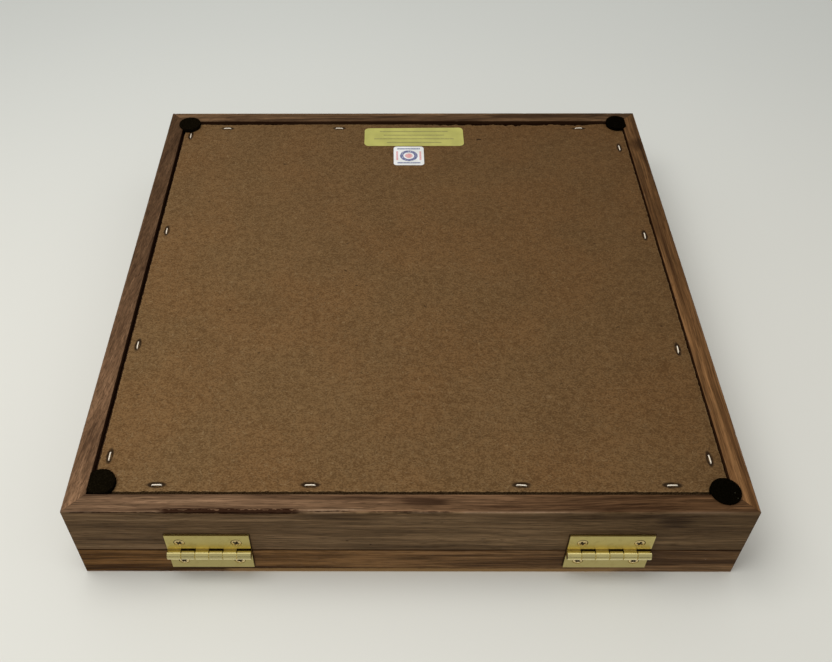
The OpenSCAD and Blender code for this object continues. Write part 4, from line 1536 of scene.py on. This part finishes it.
def world_light(settings):
    """Even light on the object, and a pale backdrop to look at and to reflect."""
    world = bpy.data.worlds.new("pale_room")
    bpy.context.scene.world = world
    world.use_nodes = True
    tree = world.node_tree
    tree.nodes.clear()
    path = node(tree, "ShaderNodeLightPath")
    up = axes(node(tree, "ShaderNodeTexCoord")["Generated"])
    steep = maths("ABSOLUTE", up["Z"])
    # The room is brightest above the front of the case, on either side of the table
    towards = up["Y"] * -0.47 + steep * 0.88
    light = node(tree, "ShaderNodeBackground", {
        "Color": (1.0, 0.985, 0.95, 1), "Strength": settings.ambient})
    # A dark line lies all round at the far edge of the table, with the dim room above it
    mirrored = mixed(spread(towards, 0.66, 0.80), (0.41, 0.41, 0.385, 1), (1.0, 0.99, 0.94, 1))
    mirrored = mixed(spread(steep, 0.13, 0.03), mirrored, (0.03, 0.025, 0.02, 1))
    reflected = node(tree, "ShaderNodeBackground", {"Color": mirrored, "Strength": 1.0})
    seen = node(tree, "ShaderNodeBackground", {"Color": opaque(settings.backdrop), "Strength": 1.0})
    shiny = node(tree, "ShaderNodeMixShader", {
        0: path["Is Glossy Ray"], 1: light[0], 2: reflected[0]})
    looked_at = maths("MAXIMUM", path["Is Camera Ray"], path["Is Transmission Ray"])
    both = node(tree, "ShaderNodeMixShader", {0: looked_at, 1: shiny[0], 2: seen[0]})
    node(tree, "ShaderNodeOutputWorld", {"Surface": both[0]})


def lamp(name, place, target, size, power, tint):
    """A large square lamp pointed at a target."""
    data = bpy.data.lights.new(name, "AREA")
    data.size = size
    data.energy = power
    data.color = tint
    made = linked(name, data)
    made.location = place
    made.rotation_mode = "QUATERNION"
    made.rotation_quaternion = (Vector(target) - Vector(place)).to_track_quat("-Z", "Y")
    made.visible_glossy = False
    made.visible_transmission = False


# Operators

def settings_of(context):
    return context.scene.coin_case


class CASE_OT_stage(bpy.types.Operator):
    """Sets up the pale tables, the light and the camera"""
    bl_idname = "coin_case.stage"
    bl_label = "Stage"

    def execute(self, context):
        settings = settings_of(context).stage
        context.scene.view_settings.view_transform = "Standard"
        world_light(settings)
        below = 0.05 * MM
        table("table_under_lid", CAD_BOX[1].z + below, -1, settings)
        table("table_under_pads", CAD_BOX[0].z - below, 1, settings)
        middle = (CAD_BOX[0].z + CAD_BOX[1].z) / 2
        across, behind, away, size = -0.20, 0.12, 0.72, 0.5
        for name, side in (("key_below", -1), ("key_above", 1)):
            place = (across, behind, middle + side * away)
            lamp(name, place, (0, 0, middle), size, settings.key, (1.0, 0.99, 0.965))
        data = bpy.data.cameras.new("camera")
        data.lens = settings.lens
        data.sensor_width = 36
        # The middle of view lies left of and above the picture's own middle
        data.shift_x = 0.03796
        data.shift_y = -0.03016
        camera = linked("camera", data)
        camera.location = settings.camera_place
        camera.rotation_euler = settings.camera_turn
        context.scene.camera = camera
        return {"FINISHED"}


class CASE_OT_rails(bpy.types.Operator):
    """Makes the eight mitred walnut rails of the base and the lid"""
    bl_idname = "coin_case.rails"
    bl_label = "Walnut rails"

    def execute(self, context):
        settings = settings_of(context).walnut
        for seed, (part, side) in enumerate((p, s) for p in ("base", "lid") for s in SIDES):
            material = walnut(f"walnut_{part}_{side}", side, BOARDS[f"{part}_{side}"], settings)
            rail(part, side, settings, material, seed + 1)
        return {"FINISHED"}


class CASE_OT_beads(bpy.types.Operator):
    """Makes the four walnut beads that hold the glass"""
    bl_idname = "coin_case.beads"
    bl_label = "Glass beads"

    def execute(self, context):
        settings = settings_of(context).walnut
        for i, side in enumerate(SIDES):
            board = Board((5000 + 400 * i, 90 * i, 40), 0.02, (0.85, 0.72, 0.6), (0.8, 0.66, 0.52))
            material = walnut(f"walnut_bead_{side}", side, board, settings)
            eased_copy(f"glass_bead_{side}", f"walnut_bead_{side}", material, 0.15 * MM)
        return {"FINISHED"}


class CASE_OT_panel(bpy.types.Operator):
    """Makes the torn hardboard panel in the bottom"""
    bl_idname = "coin_case.panel"
    bl_label = "Hardboard panel"

    def execute(self, context):
        settings = settings_of(context).panel
        panel(settings, hardboard(settings))
        return {"FINISHED"}


class CASE_OT_staples(bpy.types.Operator):
    """Drives the wire staples through the panel"""
    bl_idname = "coin_case.staples"
    bl_label = "Staples"

    def execute(self, context):
        marks = [((x, y, PANEL_Z), (0, 0, turn)) for x, y, turn in staple_places()]
        made = on_marks("bent_wire_staples", marks, bent_wire(), staple_wire(), (2.0, 1.5, 4.0), 11)
        attach(made, "base", "staple_wire", "bottom_staples")
        return {"FINISHED"}


class CASE_OT_labels(bpy.types.Operator):
    """Sticks the two plain paper labels on the panel"""
    bl_idname = "coin_case.labels"
    bl_label = "Labels"

    def execute(self, context):
        settings = settings_of(context).labels
        # The wide label has ruled lines of different lengths
        centre, half_x, half_y = (7.0, -127.3), 31.8, 9.65
        rows = ((-6.0, 22.0), (-2.0, 19.5), (2.0, 25.5), (6.0, 17.5))
        prints = [("bar", (0.0, y), (w, 0.5), settings.ruling, 0.62) for y, w in rows]
        paper = paper_material("gold_paper", settings.gold, prints, centre, 0.42)

        def creased(x, y):
            corner = max(0.0, (x - 23) / 9) * max(0.0, (-y - 3) / 6.65)
            return 0.7 * corner + 0.05 * (1 + noise.noise(Vector((x * 0.08, y * 0.08, 5.0))))

        label("gold_label", centre, half_x, half_y, 3.0, settings.thickness, paper, creased)
        # The square label has a ring, a disc and four bars
        centre, half = (3.4, -107.2), 9.5
        prints = [
            ("ring", (0.0, 0.0), (4.5, 1.1), settings.blue, 0.95),
            ("ring", (0.0, 0.0), (1.2, 1.2), settings.rose, 0.9)]
        for y, ink in ((-7.3, settings.blue), (7.3, settings.blue)):
            prints.append(("bar", (0.0, y), (7.2, 0.65), ink, 0.85))
        for x in (-7.3, 7.3):
            prints.append(("bar", (x, 0.0), (0.6, 4.6), settings.rose, 0.85))
        paper = paper_material("white_paper", settings.white, prints, centre, 0.35)
        label("white_label", centre, half, half + 0.2, 2.0, settings.thickness, paper,
              lambda x, y: 0.04 * (1 + noise.noise(Vector((x * 0.1, y * 0.1, 9.0)))))
        return {"FINISHED"}


class CASE_OT_pads(bpy.types.Operator):
    """Makes the four felt pads"""
    bl_idname = "coin_case.pads"
    bl_label = "Felt pads"

    def execute(self, context):
        settings = settings_of(context).felt
        material = felt("black_felt", settings.colour, 0.22)
        for corner in ("front_left", "front_right", "back_left", "back_right"):
            pad(corner, settings, material)
        return {"FINISHED"}


class CASE_OT_lining(bpy.types.Operator):
    """Makes the velvet board and the flocked dividers"""
    bl_idname = "coin_case.lining"
    bl_label = "Lining and dividers"

    def execute(self, context):
        velvet = felt("black_velvet", (0.012, 0.012, 0.013), 0.05)
        flock = felt("black_flock", (0.016, 0.016, 0.017), 0.05)
        eased_copy("liner_board", "velvet_liner_board", velvet, 0.5 * MM, 3)
        for name in frame["nodes"]:
            if name.startswith("divider_"):
                eased_copy(name, f"flocked_{name}", flock, 0.12 * MM)
        return {"FINISHED"}


class CASE_OT_glass(bpy.types.Operator):
    """Makes the pane with its ground edges"""
    bl_idname = "coin_case.glass"
    bl_label = "Glass"

    def execute(self, context):
        eased_copy("lid_glass", "float_glass_pane", clear_glass(), 0.2 * MM, 1)
        return {"FINISHED"}


class CASE_OT_hinges(bpy.types.Operator):
    """Makes the brass leaves with their rolled knuckles, and the pins"""
    bl_idname = "coin_case.hinges"
    bl_label = "Hinges"

    def execute(self, context):
        settings = settings_of(context).brass
        # The leaves on the lid are painted darker, as painted shade: they reflect the shaded table near
        # the case
        darker = tuple(0.80 * x for x in settings.leaf)
        pin = brass("satin_brass_pin", settings.leaf, settings, 0.22)
        for part, tone in (("base", settings.leaf), ("lid", darker)):
            holes = [((lo.x + hi.x) / 2, (lo.z + hi.z) / 2, (hi.z - lo.z) / 2 + 0.15, hi.y)
                     for lo, hi in solids_of(f"{part}_hinge_screws")]
            # Painted shade below the screw heads goes on the base's leaves only
            rings = [hole[:3] for hole in holes] if part == "base" else ()
            leaf = brass(f"satin_brass_{part}_leaf", tone, settings, 0.26, 0.85, rings)
            for side in ("left", "right"):
                name = f"hinge_{side}_{part}_leaf"
                bends = rolled_bends(name, 0.25)
                eased_copy(name, f"rolled_{name}", leaf, settings.bevel, 2, holes, bends)
        for side in ("left", "right"):
            eased_copy(f"hinge_{side}_pin", f"turned_hinge_{side}_pin", pin, settings.bevel * 2)
        return {"FINISHED"}


class CASE_OT_screws(bpy.types.Operator):
    """Drives the cross-head screws of the hinges and the latch"""
    bl_idname = "coin_case.screws"
    bl_label = "Screws"

    def execute(self, context):
        settings = settings_of(context).brass
        plated = brass("plated_screw", settings.screw, settings, 0.20)
        # Node, body, its outward direction along Y, shank diameter and the greatest turn of a head
        rows = (
            ("base_hinge_screws", "base", 1, 2.2, 75, 3), ("lid_hinge_screws", "lid", 1, 2.2, 75, 8),
            ("catch_screws", "base", -1, 1.4, 60, 5), ("hook_plate_screws", "lid", -1, 1.4, 60, 6))
        for name, body, out, shank_d, turn, seed in rows:
            marks, head_d, long = [], 0.0, 0.0
            for lo, hi in solids_of(name):
                head_d, long = hi.z - lo.z, hi.y - lo.y
                face = hi.y if out > 0 else lo.y
                middle = (lo + hi) / 2
                marks.append(((middle.x, face - out * 0.14, middle.z), (-90 * out, 0, 0)))
            source = cross_head_screw(head_d * 0.91, shank_d, long - 0.3)
            made = on_marks(f"cross_head_{name}", marks, source, plated, (2, turn, 2), seed)
            attach(made, body, "brass_screw", name)
        return {"FINISHED"}


class CASE_OT_latch(bpy.types.Operator):
    """Makes the brass plates, knob, rivet and swing hook on the front"""
    bl_idname = "coin_case.latch"
    bl_label = "Latch"

    def execute(self, context):
        settings = settings_of(context).brass
        plate = brass("satin_brass_plate", settings.leaf, settings, 0.28)
        turned = brass("polished_brass", settings.leaf, settings, 0.16)
        for name in ("catch_plate", "hook_plate"):
            eased_copy(name, f"pressed_{name}", plate, settings.bevel * 1.5)
        for name in ("catch_knob", "hook_rivet", "hook"):
            eased_copy(name, f"polished_{name}", turned, settings.bevel * 1.5)
        return {"FINISHED"}


class CASE_PT_panel(bpy.types.Panel):
    """Lists the steps that dress the case, and their settings"""
    bl_idname = "CASE_PT_panel"
    bl_label = "Coin display case"
    bl_space_type = "VIEW_3D"
    bl_region_type = "UI"
    bl_category = "Coin case"

    def draw(self, context):
        for step in STEPS:
            self.layout.operator(step.bl_idname)
        settings = settings_of(context)
        for name in ("walnut", "panel", "labels", "brass", "felt", "stage"):
            box = self.layout.box()
            box.label(text=name.capitalize())
            part = getattr(settings, name)
            for key in part.__annotations__:
                box.prop(part, key)


SETTINGS = (
    WalnutSettings, PanelSettings, LabelSettings, BrassSettings, FeltSettings, StageSettings,
    CoinCaseSettings)
STEPS = (
    CASE_OT_stage, CASE_OT_rails, CASE_OT_beads, CASE_OT_panel, CASE_OT_staples, CASE_OT_labels,
    CASE_OT_pads, CASE_OT_lining, CASE_OT_glass, CASE_OT_hinges, CASE_OT_screws, CASE_OT_latch)
CLASSES = SETTINGS + STEPS + (CASE_PT_panel,)


def register():
    for cls in CLASSES:
        bpy.utils.register_class(cls)
    bpy.types.Scene.coin_case = PointerProperty(type=CoinCaseSettings)


def unregister():
    del bpy.types.Scene.coin_case
    for cls in reversed(CLASSES):
        bpy.utils.unregister_class(cls)


def main():
    register()
    for step in STEPS:
        family, name = step.bl_idname.split(".")
        getattr(getattr(bpy.ops, family), name)()


if __name__ == "__main__":
    main()
